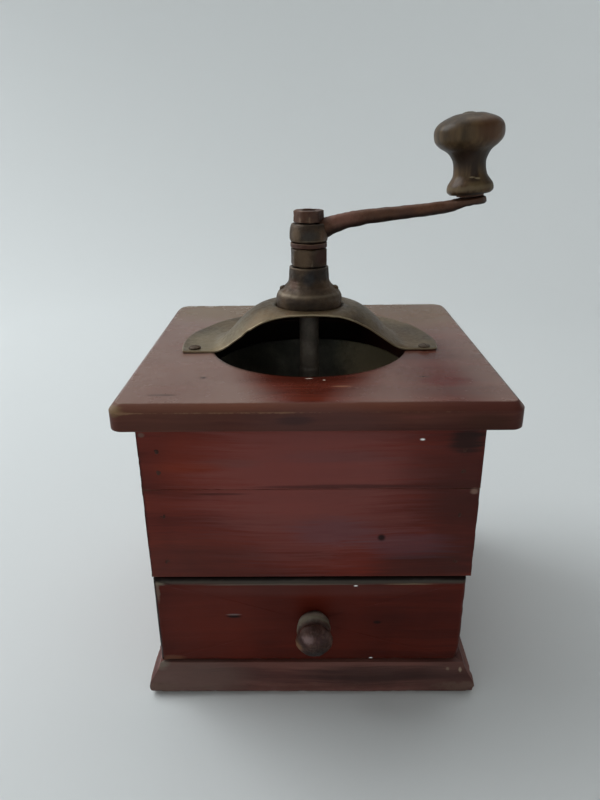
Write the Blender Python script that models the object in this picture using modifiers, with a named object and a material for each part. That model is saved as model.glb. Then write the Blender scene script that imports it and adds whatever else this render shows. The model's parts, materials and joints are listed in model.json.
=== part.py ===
"""Hand-cranked wooden box coffee grinder, as separate solids at real size.

Metres, +Z up. The origin is the centre of the base board's underside. The drawer opens towards -Y and the
crank points to +X. The mill's axis is vertical, a little in front of the box's centre.
"""

import math

import bmesh
import bpy
from mathutils import Matrix, Vector

# Fits
CLEARANCE = 0.0003  # gap between faces that touch on the real grinder
OVERRUN = 0.002  # how far a cutter passes the face that it cuts
WELD = 0.00001  # points this near are one point
SHARP_ANGLE = 0.6  # radians; an edge that turns less is shaded smooth

# Box
BODY_WIDTH = 0.146
BODY_DEPTH = 0.146
BODY_HEIGHT = 0.1269
SIDE_THICKNESS = 0.010
FRONT_THICKNESS = 0.009
BACK_THICKNESS = 0.009
UPPER_PLANK_HEIGHT = 0.0314
BOARD_EASE = 0.0004  # eased edge of the plain boards

# Base board with its moulded edge
PLINTH_HEIGHT = 0.015
PLINTH_PROJECTION = 0.006
PLINTH_CORNER = 0.0015
PLINTH_EDGE_SHARES = (  # height and projection, from the underside up the lip and the cove
    (0.0, 0.55),
    (0.05, 0.80),
    (0.15, 0.95),
    (0.28, 1.0),
    (0.42, 0.97),
    (0.52, 0.84),
    (0.60, 0.62),
    (0.72, 0.40),
    (0.85, 0.22),
    (1.0, 0.09),
)

# Top board
TOP_WIDTH = 0.167
TOP_DEPTH = 0.165
TOP_THICKNESS = 0.0115
TOP_ROUND = 0.003
TOP_UNDER_ROUND = 0.0009
TOP_CORNER = 0.0045
TOP_SHIFT = 0.0019  # the board sits this far to the right of the box
HOLE_RADIUS = 0.0482

# Mill axis and the deck that carries the burrs
MILL_FORWARD = 0.002
DECK_THICKNESS = 0.008

# Dome plate
PLATE_RADIUS = 0.0634
PLATE_THICKNESS = 0.001
DOME_HEIGHT = 0.0198
DOME_FLAT_RADIUS = 0.0176
DOME_FOOT_RADIUS = 0.0492
DOME_POWER = 1.26  # above 1 the dome is broad at the crest and steep lower down
DOME_SEAT_RADIUS = 0.0164  # shallow round seat for the bushing, pressed in the crest
DOME_SEAT_DEPTH = 0.0021
PLATE_CUT_FRONT = 0.0141  # the straight cut's distance in front of the axis, at the feet
PLATE_CUT_LEAN = 0.377  # how far the cut leans forward for each unit of height
PLATE_SCREW_INSET = 0.0061
PLATE_SCREW_SETBACK = 0.0044

# Bushing and its rivets
BUSH_FLANGE_RADIUS = 0.0160
BUSH_HEIGHT = 0.02025
BUSH_SHARES = (  # radius and height, from the top down the outside
    (0.545, 1.0),
    (0.565, 0.975),
    (0.567, 0.91),
    (0.605, 0.73),
    (0.625, 0.65),
    (0.68, 0.575),
    (0.78, 0.50),
    (0.885, 0.445),
    (0.955, 0.395),
    (0.992, 0.31),
    (1.0, 0.21),
    (0.995, 0.07),
    (0.965, 0.0),
)
RIVET_CIRCLE_RADIUS = 0.0123
RIVET_SEAT_SHARE = 0.455  # height of the spot-faced seat of a rivet head
RIVET_HEAD_RADIUS = 0.0022
RIVET_RISE = 0.0015
RIVET_SHANK_RADIUS = 0.0012
RIVET_BELOW = 0.0006  # end of a rivet below the plate

# Hopper bowl
HOPPER_WALL = 0.0012
HOPPER_DEPTH = 0.040
HOPPER_FLANGE_WIDTH = 0.0085
HOPPER_THROAT_RADIUS = 0.0215
HOPPER_BELLY = 0.62  # under 1 the bowl is full, at 1 it is a plain funnel

# Burrs
BURR_TEETH = 9
BURR_TWIST = 0.55  # turn of the teeth over the height, in radians
TOOTH_DEPTH = 0.0016
BURR_GAP = 0.0009
CONE_TOP_RADIUS = 0.0115
CONE_BOTTOM_RADIUS = 0.0190
CONE_HEIGHT = 0.022
RING_RADIUS = 0.0245
RING_HEIGHT = 0.024
RING_NECK_HEIGHT = 0.008
RING_FUNNEL_HEIGHT = 0.004
RING_FUNNEL_RADIUS = 0.0200
RING_FLANGE_RADIUS = 0.034
RING_FLANGE_THICKNESS = 0.0035
CONE_RISE = 0.0005  # the cone's foot above the ring's foot, at the coarsest setting
BURR_NUT_FLATS = 0.015
BURR_NUT_HEIGHT = 0.0042

# Lower bearing
YOKE_WIDTH = 0.014
YOKE_THICKNESS = 0.004
YOKE_HALF_SPAN = 0.029
YOKE_FOOT = 0.011
LOWER_BUSH_RADIUS = 0.0065
LOWER_BUSH_FLANGE_RADIUS = 0.009
LOWER_BUSH_FLANGE_THICKNESS = 0.0015

# Spindle
SPINDLE_RADIUS = 0.00535
SPINDLE_NECK_RADIUS = 0.0049  # the upper stretch, in the bushing and the nut
JOURNAL_RADIUS = 0.004
JOURNAL_BELOW_YOKE = 0.0015
COLLAR_RADIUS = 0.0075
COLLAR_HEIGHT = 0.003
THREAD_RADIUS = 0.0034
THREAD_CHAMFER = 0.0007
GRIND_LIFT = 0.0015  # travel of the spindle from coarse to fine, one turn of the nut
TIP_RECESS = 0.0006

# Nuts and washer on top
ADJUSTING_NUT_FLATS = 0.0162
ADJUSTING_NUT_HEIGHT = 0.0085
ADJUSTING_NUT_TURN = 0.21  # radians
CRANK_WASHER_RADIUS = 0.0087
CRANK_WASHER_THICKNESS = 0.0022
TOP_NUT_FLATS = 0.013
TOP_NUT_HEIGHT = 0.0056
TOP_NUT_TURN = 0.25
NUT_EASE = 0.0005

# Crank
EYE_RADIUS = 0.0091
EYE_HEIGHT = 0.0086
EYE_SHARES = (  # radius and height, from the top down
    (0.84, 1.0),
    (0.91, 0.86),
    (0.97, 0.57),
    (1.0, 0.22),
    (0.93, 0.0),
)
CRANK_RADIUS = 0.0750
CRANK_RISE = 0.0155  # from the middle of the eye to the top of the pad
ARM_ROOT_RADIUS = 0.0045
ARM_SHARES = (  # distance along, rise and thickness
    (0.053, -0.04, 0.86),
    (0.133, 0.180, 0.98),
    (0.228, 0.320, 0.86),
    (0.347, 0.425, 0.81),
    (0.569, 0.543, 0.72),
    (0.779, 0.650, 0.67),
    (0.880, 0.728, 0.63),
    (0.960, 0.820, 0.55),
    (1.040, 0.890, 0.37),
)
PAD_RADIUS = 0.0073
PAD_THICKNESS = 0.0026
KNOB_LEAN = 0.102  # radians, towards the mill

# Crank knob
KNOB_RADIUS = 0.0157
KNOB_HEIGHT = 0.0343
KNOB_SHARES = (  # radius and height, from the top down the outside
    (0.30, 0.993),
    (0.58, 0.965),
    (0.785, 0.925),
    (0.925, 0.87),
    (0.99, 0.80),
    (0.985, 0.71),
    (0.93, 0.65),
    (0.80, 0.592),
    (0.64, 0.54),
    (0.54, 0.48),
    (0.475, 0.40),
    (0.470, 0.31),
    (0.495, 0.235),
    (0.570, 0.175),
    (0.645, 0.125),
    (0.675, 0.075),
    (0.665, 0.03),
    (0.61, 0.0),
)
KNOB_PIN_RADIUS = 0.0022
KNOB_PIN_DEPTH = 0.0034  # length in the crank's end
KNOB_PIN_HEAD_RADIUS = 0.0035
KNOB_PIN_HEAD_RISE = 0.0014
KNOB_PIN_HEAD_SHARES = ((0.6, 0.8), (1.0, 0.2))  # radius and height of the domed head
KNOB_WASHER_RADIUS = 0.0062
KNOB_WASHER_THICKNESS = 0.0008

# Drawer
DRAWER_FRONT_HEIGHT = 0.0485
DRAWER_FRONT_PLAY = 0.0005
DRAWER_TOP_GAP = 0.0013
DRAWER_FRONT_ROUND = 0.0028
DRAWER_FRONT_CORNER = 0.003
DRAWER_SIDE_PLAY = 0.0008
DRAWER_BACK_PLAY = 0.002
DRAWER_BOX_HEIGHT = 0.038
DRAWER_WALL = 0.0055
DRAWER_FLOOR = 0.003

# Drawer knob
DRAWER_KNOB_RADIUS = 0.0096
DRAWER_KNOB_LENGTH = 0.0190
DRAWER_KNOB_ASIDE = 0.0012  # the knob is a little to the right of the middle and above it
DRAWER_KNOB_RISE = 0.0005
DRAWER_KNOB_SHARES = (  # radius and distance from the drawer, from the front end back
    (0.50, 0.985),
    (0.80, 0.92),
    (0.95, 0.81),
    (1.0, 0.68),
    (0.93, 0.57),
    (0.74, 0.505),
    (0.69, 0.465),
    (0.80, 0.415),
    (0.875, 0.33),
    (0.875, 0.24),
    (0.80, 0.14),
    (0.70, 0.07),
    (0.64, 0.0),
)

# Small fasteners: head radius, rise of the head, depth of the head in the wood, shank radius
HEAD_SHARES = ((0.62, 0.78), (1.0, 0.25))  # radius and height of a domed head, from the top down
NAIL = (0.0014, 0.0001, 0.0008, 0.0007)
NAIL_BITE = 0.008  # length in the second board
NAIL_END_INSET = 0.0080
NAIL_LOW_INSET = 0.0083
NAIL_HIGH_INSET = 0.0130
PLATE_SCREW = (0.0030, 0.0011, 0.0, 0.0014)
PLATE_SCREW_BITE = 0.007
SCREW_SLOT_WIDTH = 0.0007
SCREW_SLOT_DEPTH = 0.0006
TACK = (0.0020, 0.0005, 0.0, 0.0008)
TACK_BITE = 0.005
BURR_SCREW = (0.0028, 0.0012, 0.0, 0.0015)
BURR_SCREW_BITE = 0.006
YOKE_SCREW = (0.0028, 0.0012, 0.0, 0.0015)
KNOB_SCREW = (0.0032, 0.0013, 0.0, 0.0016)
KNOB_SCREW_BITE = 0.008

# Facets
CORNER_STEPS = 3
BOARD_ROUND_STEPS = 3
LARGE_STEPS = 40
TURNED_STEPS = 20
SMALL_STEPS = 8

# Heights from the base up
body_bottom = PLINTH_HEIGHT + CLEARANCE
body_top = body_bottom + BODY_HEIGHT
top_bottom = body_top + CLEARANCE
top_face = top_bottom + TOP_THICKNESS
drawer_front_top = body_bottom + DRAWER_FRONT_HEIGHT
lower_plank_bottom = drawer_front_top + DRAWER_TOP_GAP
upper_plank_bottom = body_top - UPPER_PLANK_HEIGHT
lower_plank_top = upper_plank_bottom - CLEARANCE

# Heights of the mill, from the top board down
hopper_top = top_bottom - CLEARANCE
hopper_bottom = hopper_top - HOPPER_DEPTH
ring_top = hopper_bottom - CLEARANCE
ring_bottom = ring_top - RING_HEIGHT
ring_flange_top = ring_top - RING_NECK_HEIGHT
deck_top = ring_flange_top - RING_FLANGE_THICKNESS - CLEARANCE
deck_bottom = deck_top - DECK_THICKNESS
cone_bottom = ring_bottom + CONE_RISE
cone_top = cone_bottom + CONE_HEIGHT
burr_nut_top = cone_bottom - CLEARANCE
burr_nut_bottom = burr_nut_top - BURR_NUT_HEIGHT
lower_bush_top = burr_nut_bottom - CLEARANCE
yoke_top = lower_bush_top - LOWER_BUSH_FLANGE_THICKNESS - CLEARANCE
yoke_bottom = yoke_top - YOKE_THICKNESS

# Heights of the mill, from the top board up
plate_top = top_face + CLEARANCE + PLATE_THICKNESS
crest_top = plate_top + DOME_HEIGHT
seat_top = crest_top - DOME_SEAT_DEPTH
bushing_bottom = seat_top + CLEARANCE
bushing_top = bushing_bottom + BUSH_HEIGHT
adjusting_nut_bottom = bushing_top + CLEARANCE
adjusting_nut_top = adjusting_nut_bottom + ADJUSTING_NUT_HEIGHT
crank_washer_bottom = adjusting_nut_top + CLEARANCE
crank_washer_top = crank_washer_bottom + CRANK_WASHER_THICKNESS
eye_bottom = crank_washer_top + CLEARANCE
eye_top = eye_bottom + EYE_HEIGHT
top_nut_bottom = eye_top + CLEARANCE
top_nut_top = top_nut_bottom + TOP_NUT_HEIGHT
spindle_tip = top_nut_top - TIP_RECESS - GRIND_LIFT
tang_bottom = crank_washer_bottom - GRIND_LIFT
spindle_bottom = yoke_bottom - JOURNAL_BELOW_YOKE

# Places across the box
front_face = -BODY_DEPTH / 2
back_face = BODY_DEPTH / 2
inner_half_width = BODY_WIDTH / 2 - SIDE_THICKNESS
side_front = front_face + FRONT_THICKNESS + CLEARANCE
side_back = back_face - BACK_THICKNESS - CLEARANCE
mill_y = -MILL_FORWARD
spindle_hole = SPINDLE_RADIUS + CLEARANCE
neck_hole = SPINDLE_NECK_RADIUS + CLEARANCE
tang_half_diagonal = SPINDLE_NECK_RADIUS


def clear_scene():
    for old in list(bpy.data.objects):
        bpy.data.objects.remove(old, do_unlink=True)


def new_collection(name):
    made = bpy.data.collections.new(name)
    bpy.context.scene.collection.children.link(made)
    return made


clear_scene()
grinder = new_collection("box_coffee_grinder")
cutters = new_collection("cutters")
cutters.hide_render = True


def new_material(name, color, roughness, metallic=0.0):
    made = bpy.data.materials.new(name)
    made.use_nodes = True
    shader = made.node_tree.nodes["Principled BSDF"]
    shader.inputs["Base Color"].default_value = (*color, 1.0)
    shader.inputs["Roughness"].default_value = roughness
    shader.inputs["Metallic"].default_value = metallic
    return made


panel_wood = new_material("stained_panel_wood", (0.13, 0.030, 0.018), 0.42)
top_wood = new_material("stained_top_wood", (0.20, 0.055, 0.035), 0.38)
base_wood = new_material("worn_base_wood", (0.11, 0.060, 0.045), 0.60)
inner_wood = new_material("bare_inner_wood", (0.42, 0.27, 0.15), 0.75)
knob_wood = new_material("varnished_knob_wood", (0.10, 0.075, 0.045), 0.30)
drawer_knob_wood = new_material("weathered_knob_wood", (0.10, 0.055, 0.040), 0.62)
plate_steel = new_material("patinated_sheet_steel", (0.24, 0.19, 0.12), 0.55, 0.6)
cast_iron = new_material("dark_cast_iron", (0.13, 0.10, 0.075), 0.60, 0.6)
rusty_steel = new_material("rusted_bar_steel", (0.20, 0.085, 0.045), 0.68, 0.4)
spindle_steel = new_material("worn_spindle_steel", (0.17, 0.11, 0.08), 0.50, 0.7)
burr_steel = new_material("hardened_burr_steel", (0.25, 0.24, 0.23), 0.40, 0.9)
hopper_steel = new_material("dull_hopper_steel", (0.16, 0.17, 0.15), 0.50, 0.7)
nail_steel = new_material("nail_steel", (0.12, 0.08, 0.06), 0.55, 0.6)


def new_empty(name, location, lean=0.0):
    made = bpy.data.objects.new(name, None)
    grinder.objects.link(made)
    made.location = location
    made.rotation_euler.y = -lean
    return made


def add_object(name, mesh, material, parent=None, location=(0, 0, 0), tilt=0.0):
    """An object in the grinder's collection, or a cutter when it has no material."""
    made = bpy.data.objects.new(name, mesh)
    if material is None:
        cutters.objects.link(made)
        made.hide_render = True
        made.display_type = "WIRE"
    else:
        grinder.objects.link(made)
        mesh.materials.append(material)
    made.parent = parent
    made.location = location
    made.rotation_euler.x = tilt
    return made


def shade_round(mesh):
    mesh.shade_smooth()
    mesh.set_sharp_from_angle(angle=SHARP_ANGLE)


def mesh_of(name, bm):
    mesh = bpy.data.meshes.new(name)
    bm.to_mesh(mesh)
    bm.free()
    shade_round(mesh)
    return mesh


def box_mesh(name, size):
    bm = bmesh.new()
    bmesh.ops.create_cube(bm, size=1.0, matrix=Matrix.Diagonal((*size, 1.0)))
    return mesh_of(name, bm)


def between(low, high):
    return (low + high) / 2


def board(name, low, high, material, parent=None):
    """A plain board from its lowest to its highest corner, with eased edges."""
    low = Vector(low)
    high = Vector(high)
    origin = parent.location if parent else Vector((0, 0, 0))
    made = add_object(name, box_mesh(name, high - low), material, parent, (low + high) / 2 - origin)
    ease = made.modifiers.new("eased edges", "BEVEL")
    ease.width = BOARD_EASE
    ease.segments = 1
    return made


def prism(name, radius, height, sides, material=None, parent=None, location=(0, 0, 0), turn=0.0):
    """An upright prism or cylinder that stands on its location."""
    bm = bmesh.new()
    bmesh.ops.create_cone(
        bm,
        cap_ends=True,
        segments=sides,
        radius1=radius,
        radius2=radius,
        depth=height,
        matrix=Matrix.Translation((0, 0, height / 2)) @ Matrix.Rotation(turn, 4, "Z"),
    )
    return add_object(name, mesh_of(name, bm), material, parent, location)


def turned(name, profile, steps, material=None, parent=None, location=(0, 0, 0), tilt=0.0, hollow=False):
    """A profile of radius and height turned about Z, down the outside and, if hollow, back up the bore."""
    mesh = bpy.data.meshes.new(name)
    count = len(profile)
    edges = [(i, i + 1) for i in range(count - 1)]
    if hollow:
        edges.append((count - 1, 0))
    mesh.from_pydata([(radius, 0, height) for radius, height in profile], edges, [])
    made = add_object(name, mesh, material, parent, location, tilt)
    screw = made.modifiers.new("turned", "SCREW")
    screw.steps = steps
    screw.render_steps = steps
    screw.use_merge_vertices = True
    screw.merge_threshold = WELD
    return made


def join_or_cut(target, other, operation):
    modifier = target.modifiers.new(other.name, "BOOLEAN")
    modifier.operation = operation
    modifier.solver = "EXACT"
    modifier.object = other


def cut(target, cutter):
    join_or_cut(target, cutter, "DIFFERENCE")


def rounded_outline(half_width, half_depth, corner):
    """Points of a rounded rectangle, anticlockwise."""
    points = []
    for quarter in range(4):
        side_x = 1 if quarter in (0, 3) else -1
        side_y = 1 if quarter in (0, 1) else -1
        for step in range(CORNER_STEPS + 1):
            angle = (quarter + step / CORNER_STEPS) * math.pi / 2
            x = side_x * (half_width - corner) + corner * math.cos(angle)
            y = side_y * (half_depth - corner) + corner * math.sin(angle)
            points.append((x, y))
    return points


def loft(name, rings, closed, material, parent=None, location=(0, 0, 0), tilt=0.0):
    """Rings of equally many points, from the lowest up, joined by quads and capped, or joined into a tube."""
    bm = bmesh.new()
    rows = [[bm.verts.new(point) for point in ring] for ring in rings]
    count = len(rings[0])
    pairs = list(zip(rows, rows[1:]))
    if closed:
        pairs.append((rows[-1], rows[0]))
    for lower, upper in pairs:
        for i in range(count):
            j = (i + 1) % count
            bm.faces.new((lower[i], lower[j], upper[j], upper[i]))
    if not closed:
        bm.faces.new(rows[0][::-1])
        bm.faces.new(rows[-1])
    return add_object(name, mesh_of(name, bm), material, parent, location, tilt)


def moulded_board(name, width, depth, corner, levels, material, parent=None, location=(0, 0, 0), tilt=0.0):
    """A board whose rounded outline is drawn in by a different amount at each height."""
    rings = []
    for height, inset in levels:
        outline = rounded_outline(width / 2 - inset, depth / 2 - inset, corner)
        rings.append([(x, y, height) for x, y in outline])
    return loft(name, rings, False, material, parent, location, tilt)


def round_levels(thickness, upper, lower):
    """Heights and insets of a board with a quarter-round upper edge and an eased lower edge."""
    levels = [(0.0, lower), (lower, 0.0)]
    for step in range(BOARD_ROUND_STEPS + 1):
        angle = step / BOARD_ROUND_STEPS * math.pi / 2
        levels.append((thickness - upper + upper * math.sin(angle), upper * (1 - math.cos(angle))))
    return levels


def fastener_profile(spec, length, grow=0.0, above=0.0):
    """Head and shank of a nail, screw or rivet. Zero is the face it is driven into, less the clearance."""
    head, rise, sunk, shank = spec
    dome = [(0, rise)] + [(head * out, rise * up) for out, up in HEAD_SHARES]
    if above:
        dome = [(0, above), (head + grow, above)]
    return dome + [
        (head + grow, -sunk - grow),
        (shank + grow, -sunk - grow),
        (shank + grow, -length - grow),
        (0, -length - grow),
    ]


def fastener(name, spec, length, place, tilt, pieces, material=nail_steel, parent=None):
    """A fastener whose head meets the face at its place, and its hole in each of the pieces."""
    axis = Matrix.Rotation(tilt, 3, "X") @ Vector((0, 0, 1))
    origin = parent.location if parent else Vector((0, 0, 0))
    seat = Vector(place) - origin + axis * (0.0 if spec[2] else CLEARANCE)
    made = turned(name, fastener_profile(spec, length), SMALL_STEPS, material, parent, seat, tilt)
    hole_spec = spec if spec[2] else (spec[3], 0.0, 0.0, spec[3])
    hole_profile = fastener_profile(hole_spec, length, CLEARANCE, OVERRUN)
    hole = turned(name + "_hole", hole_profile, SMALL_STEPS, None, parent, seat, tilt)
    for piece in pieces:
        cut(piece, hole)
    return made


def hex_nut(name, flats, height, bore, turn, material, parent, location):
    made = prism(name, flats / math.sqrt(3), height, 6, material, parent, location, turn)
    ease = made.modifiers.new("eased corners", "BEVEL")
    ease.width = NUT_EASE
    ease.segments = 1
    below = (location[0], location[1], location[2] - OVERRUN)
    hole = prism(name + "_bore", bore, height + 2 * OVERRUN, TURNED_STEPS, None, parent, below)
    cut(made, hole)
    return made


def thicken(mesh_object, name, sheet_thickness):
    """Gives an open turned sheet its thickness, below or inside its drawn face."""
    wall = mesh_object.modifiers.new(name, "SOLIDIFY")
    wall.thickness = sheet_thickness
    wall.offset = -1.0
    wall.use_even_offset = True


mill = new_empty("mill_axis", (0, mill_y, 0))


def make_base():
    levels = []
    for height_share, out_share in PLINTH_EDGE_SHARES:
        levels.append((height_share * PLINTH_HEIGHT, PLINTH_PROJECTION * (1 - out_share)))
    width = BODY_WIDTH + 2 * PLINTH_PROJECTION
    depth = BODY_DEPTH + 2 * PLINTH_PROJECTION
    return moulded_board("base_plinth", width, depth, PLINTH_CORNER, levels, base_wood)


def make_body():
    half_width = BODY_WIDTH / 2
    sides = []
    for side, name in ((-1, "left"), (1, "right")):
        near = side * half_width
        far = side * inner_half_width
        low = (min(near, far), side_front, body_bottom)
        high = (max(near, far), side_back, body_top)
        sides.append(board("side_panel_" + name, low, high, panel_wood))
    back_low = (-half_width, back_face - BACK_THICKNESS, body_bottom)
    back = board("back_panel", back_low, (half_width, back_face, body_top), panel_wood)
    plank_back = front_face + FRONT_THICKNESS
    planks = []
    for name, low_z, high_z in (
        ("front_plank_lower", lower_plank_bottom, lower_plank_top),
        ("front_plank_upper", upper_plank_bottom, body_top),
    ):
        low = (-half_width, front_face, low_z)
        planks.append(board(name, low, (half_width, plank_back, high_z), panel_wood))
        for side, panel, side_name in ((-1, sides[0], "left"), (1, sides[1], "right")):
            for row, z in (("low", low_z + NAIL_LOW_INSET), ("high", high_z - NAIL_HIGH_INSET)):
                nail_name = f"{name}_nail_{side_name}_{row}"
                place = (side * (half_width - NAIL_END_INSET), front_face, z)
                length = FRONT_THICKNESS + NAIL_BITE
                fastener(nail_name, NAIL, length, place, math.pi / 2, [planks[-1], panel])
    return back


def make_top():
    levels = round_levels(TOP_THICKNESS, TOP_ROUND, TOP_UNDER_ROUND)
    place = (TOP_SHIFT, 0, top_bottom)
    top = moulded_board("top_board", TOP_WIDTH, TOP_DEPTH, TOP_CORNER, levels, top_wood, None, place)
    height = TOP_THICKNESS + 2 * OVERRUN
    hole = prism("bean_hole", HOLE_RADIUS, height, LARGE_STEPS, None, mill, (0, 0, top_bottom - OVERRUN))
    cut(top, hole)
    return top


def dome_height(radius):
    """A shallow seat, then half a cosine from the crest's flat to the foot, broad at the top."""
    if radius <= DOME_SEAT_RADIUS:
        return DOME_HEIGHT - DOME_SEAT_DEPTH
    share = (radius - DOME_FLAT_RADIUS) / (DOME_FOOT_RADIUS - DOME_FLAT_RADIUS)
    share = min(max(share, 0.0), 1.0)
    return DOME_HEIGHT * (1 + math.cos(math.pi * share**DOME_POWER)) / 2


def make_plate(top):
    steps = 8
    radii = [neck_hole + CLEARANCE, DOME_SEAT_RADIUS, DOME_FLAT_RADIUS]
    for step in range(1, steps + 1):
        radii.append(DOME_FLAT_RADIUS + (DOME_FOOT_RADIUS - DOME_FLAT_RADIUS) * step / steps)
    radii.append(PLATE_RADIUS)
    profile = [(radius, plate_top + dome_height(radius)) for radius in radii]
    plate = turned("dome_plate", profile, LARGE_STEPS, plate_steel, mill)
    thicken(plate, "sheet", PLATE_THICKNESS)
    reach = PLATE_RADIUS + OVERRUN
    height = DOME_HEIGHT + PLATE_THICKNESS + 2 * OVERRUN
    bm = bmesh.new()
    bmesh.ops.create_cube(bm, size=1.0, matrix=Matrix.Diagonal((2 * reach, reach, height, 1.0)))
    for vertex in bm.verts:
        vertex.co.z += height / 2 - PLATE_THICKNESS - OVERRUN
        vertex.co.y -= reach / 2 + PLATE_CUT_FRONT + PLATE_CUT_LEAN * vertex.co.z
    cutter = add_object("plate_front_cut", mesh_of("plate_front_cut", bm), None, mill, (0, 0, plate_top))
    cut(plate, cutter)

    circle = PLATE_RADIUS - PLATE_SCREW_INSET
    setback = PLATE_CUT_FRONT - PLATE_SCREW_SETBACK
    aside = math.sqrt(circle**2 - setback**2)
    places = {
        "left": (-aside, mill_y - setback),
        "right": (aside, mill_y - setback),
        "back": (0, mill_y + circle),
    }
    slot_length = 2 * (PLATE_SCREW[0] + OVERRUN)
    slot_size = (slot_length, SCREW_SLOT_WIDTH, 2 * SCREW_SLOT_DEPTH)
    length = PLATE_THICKNESS + CLEARANCE + PLATE_SCREW_BITE
    for side, (x, y) in places.items():
        name = "plate_screw_" + side
        screw = fastener(name, PLATE_SCREW, length, (x, y, plate_top), 0.0, [plate, top])
        slot_top = plate_top + CLEARANCE + PLATE_SCREW[1]
        slot = add_object(name + "_slot", box_mesh(name + "_slot", slot_size), None, None, (x, y, slot_top))
        cut(screw, slot)
    return plate


def make_bushing(plate):
    profile = [(radius * BUSH_FLANGE_RADIUS, height * BUSH_HEIGHT) for radius, height in BUSH_SHARES]
    profile += [(neck_hole, 0), (neck_hole, BUSH_HEIGHT)]
    place = (0, 0, bushing_bottom)
    bushing = turned("bushing", profile, TURNED_STEPS, cast_iron, mill, place, hollow=True)
    seat = bushing_bottom + RIVET_SEAT_SHARE * BUSH_HEIGHT
    length = seat + CLEARANCE - seat_top + PLATE_THICKNESS + RIVET_BELOW
    spec = (RIVET_HEAD_RADIUS, RIVET_RISE, 0.0, RIVET_SHANK_RADIUS)
    spot_radius = RIVET_HEAD_RADIUS + CLEARANCE
    for side, name in ((-1, "bushing_rivet_left"), (1, "bushing_rivet_right")):
        x = side * RIVET_CIRCLE_RADIUS
        spot = prism(name + "_seat", spot_radius, BUSH_HEIGHT, SMALL_STEPS, None, mill, (x, 0, seat))
        cut(bushing, spot)
        fastener(name, spec, length, (x, mill_y, seat), 0.0, [bushing, plate], cast_iron)
    return bushing


def make_hopper(top):
    steps = 5
    mouth = HOLE_RADIUS + HOPPER_WALL
    throat = HOPPER_THROAT_RADIUS + HOPPER_WALL
    rim = hopper_top - HOPPER_WALL
    profile = [(mouth + HOPPER_FLANGE_WIDTH, rim)]
    for step in range(steps + 1):
        share = step / steps
        radius = throat + (mouth - throat) * (1 - share) ** HOPPER_BELLY
        profile.append((radius, rim - (HOPPER_DEPTH - HOPPER_WALL) * share))
    bowl = turned("hopper_bowl", profile, LARGE_STEPS, hopper_steel, mill)
    thicken(bowl, "sheet", HOPPER_WALL)
    circle = mouth + HOPPER_FLANGE_WIDTH / 2 + HOPPER_WALL / 2
    length = HOPPER_WALL + CLEARANCE + TACK_BITE
    for index in range(4):
        angle = (index + 0.5) * math.pi / 2
        place = (circle * math.cos(angle), mill_y + circle * math.sin(angle), rim)
        fastener(f"hopper_tack_{index + 1}", TACK, length, place, math.pi, [bowl, top])
    return bowl


def tooth_ring(height, root, tip, twist):
    """One outline of a burr: each tooth is four points, two low and two high."""
    points = []
    for tooth in range(BURR_TEETH):
        for corner, radius in enumerate((root, tip, tip, root)):
            angle = (tooth + corner / 4) * 2 * math.pi / BURR_TEETH + twist
            points.append((radius * math.cos(angle), radius * math.sin(angle), height))
    return points


def cone_radius(height):
    """Tip radius of the inner burr's teeth, carried on past its ends."""
    share = (height - cone_bottom) / CONE_HEIGHT
    return CONE_BOTTOM_RADIUS + (CONE_TOP_RADIUS - CONE_BOTTOM_RADIUS) * share


def make_burrs(deck):
    bore = spindle_hole
    rings = []
    for share in (0.0, 0.5, 1.0):
        height = cone_bottom + CONE_HEIGHT * share
        tip = cone_radius(height)
        rings.append(tooth_ring(height, tip - TOOTH_DEPTH, tip, BURR_TWIST * share))
    rings.append(tooth_ring(cone_top, bore, bore, BURR_TWIST))
    rings.append(tooth_ring(cone_bottom, bore, bore, 0.0))
    loft("inner_burr", rings, True, burr_steel, mill)

    funnel_bottom = ring_top - RING_FUNNEL_HEIGHT
    flange_bottom = ring_flange_top - RING_FLANGE_THICKNESS
    rings = []
    for height, radius in (
        (ring_bottom, RING_RADIUS),
        (flange_bottom, RING_RADIUS),
        (flange_bottom, RING_FLANGE_RADIUS),
        (ring_flange_top, RING_FLANGE_RADIUS),
        (ring_flange_top, RING_RADIUS),
        (ring_top, RING_RADIUS),
        (ring_top, RING_FUNNEL_RADIUS),
    ):
        rings.append(tooth_ring(height, radius, radius, 0.0))
    for height, twist in ((funnel_bottom, 0.0), (between(funnel_bottom, ring_bottom), -BURR_TWIST / 2)):
        tip = cone_radius(height) + BURR_GAP
        rings.append(tooth_ring(height, tip + TOOTH_DEPTH, tip, twist))
    tip = cone_radius(ring_bottom) + BURR_GAP
    rings.append(tooth_ring(ring_bottom, tip + TOOTH_DEPTH, tip, -BURR_TWIST))
    outer = loft("outer_burr", rings, True, burr_steel, mill)
    circle = between(RING_RADIUS, RING_FLANGE_RADIUS)
    length = RING_FLANGE_THICKNESS + CLEARANCE + BURR_SCREW_BITE
    for index in range(3):
        angle = math.pi / 6 + index * 2 * math.pi / 3
        place = (circle * math.cos(angle), mill_y + circle * math.sin(angle), ring_flange_top)
        fastener(f"burr_screw_{index + 1}", BURR_SCREW, length, place, 0.0, [outer, deck], burr_steel)
    nut_place = (0, 0, burr_nut_bottom)
    bore = JOURNAL_RADIUS + CLEARANCE
    hex_nut("burr_nut", BURR_NUT_FLATS, BURR_NUT_HEIGHT, bore, 0.0, burr_steel, mill, nut_place)


def make_deck():
    half = inner_half_width - CLEARANCE
    low = (-half, side_front, deck_bottom)
    deck = board("mill_deck", low, (half, side_back, deck_top), inner_wood)
    height = DECK_THICKNESS + 2 * OVERRUN
    place = (0, 0, deck_bottom - OVERRUN)
    cut(deck, prism("ring_hole", RING_RADIUS + CLEARANCE, height, LARGE_STEPS, None, mill, place))
    return deck


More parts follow.
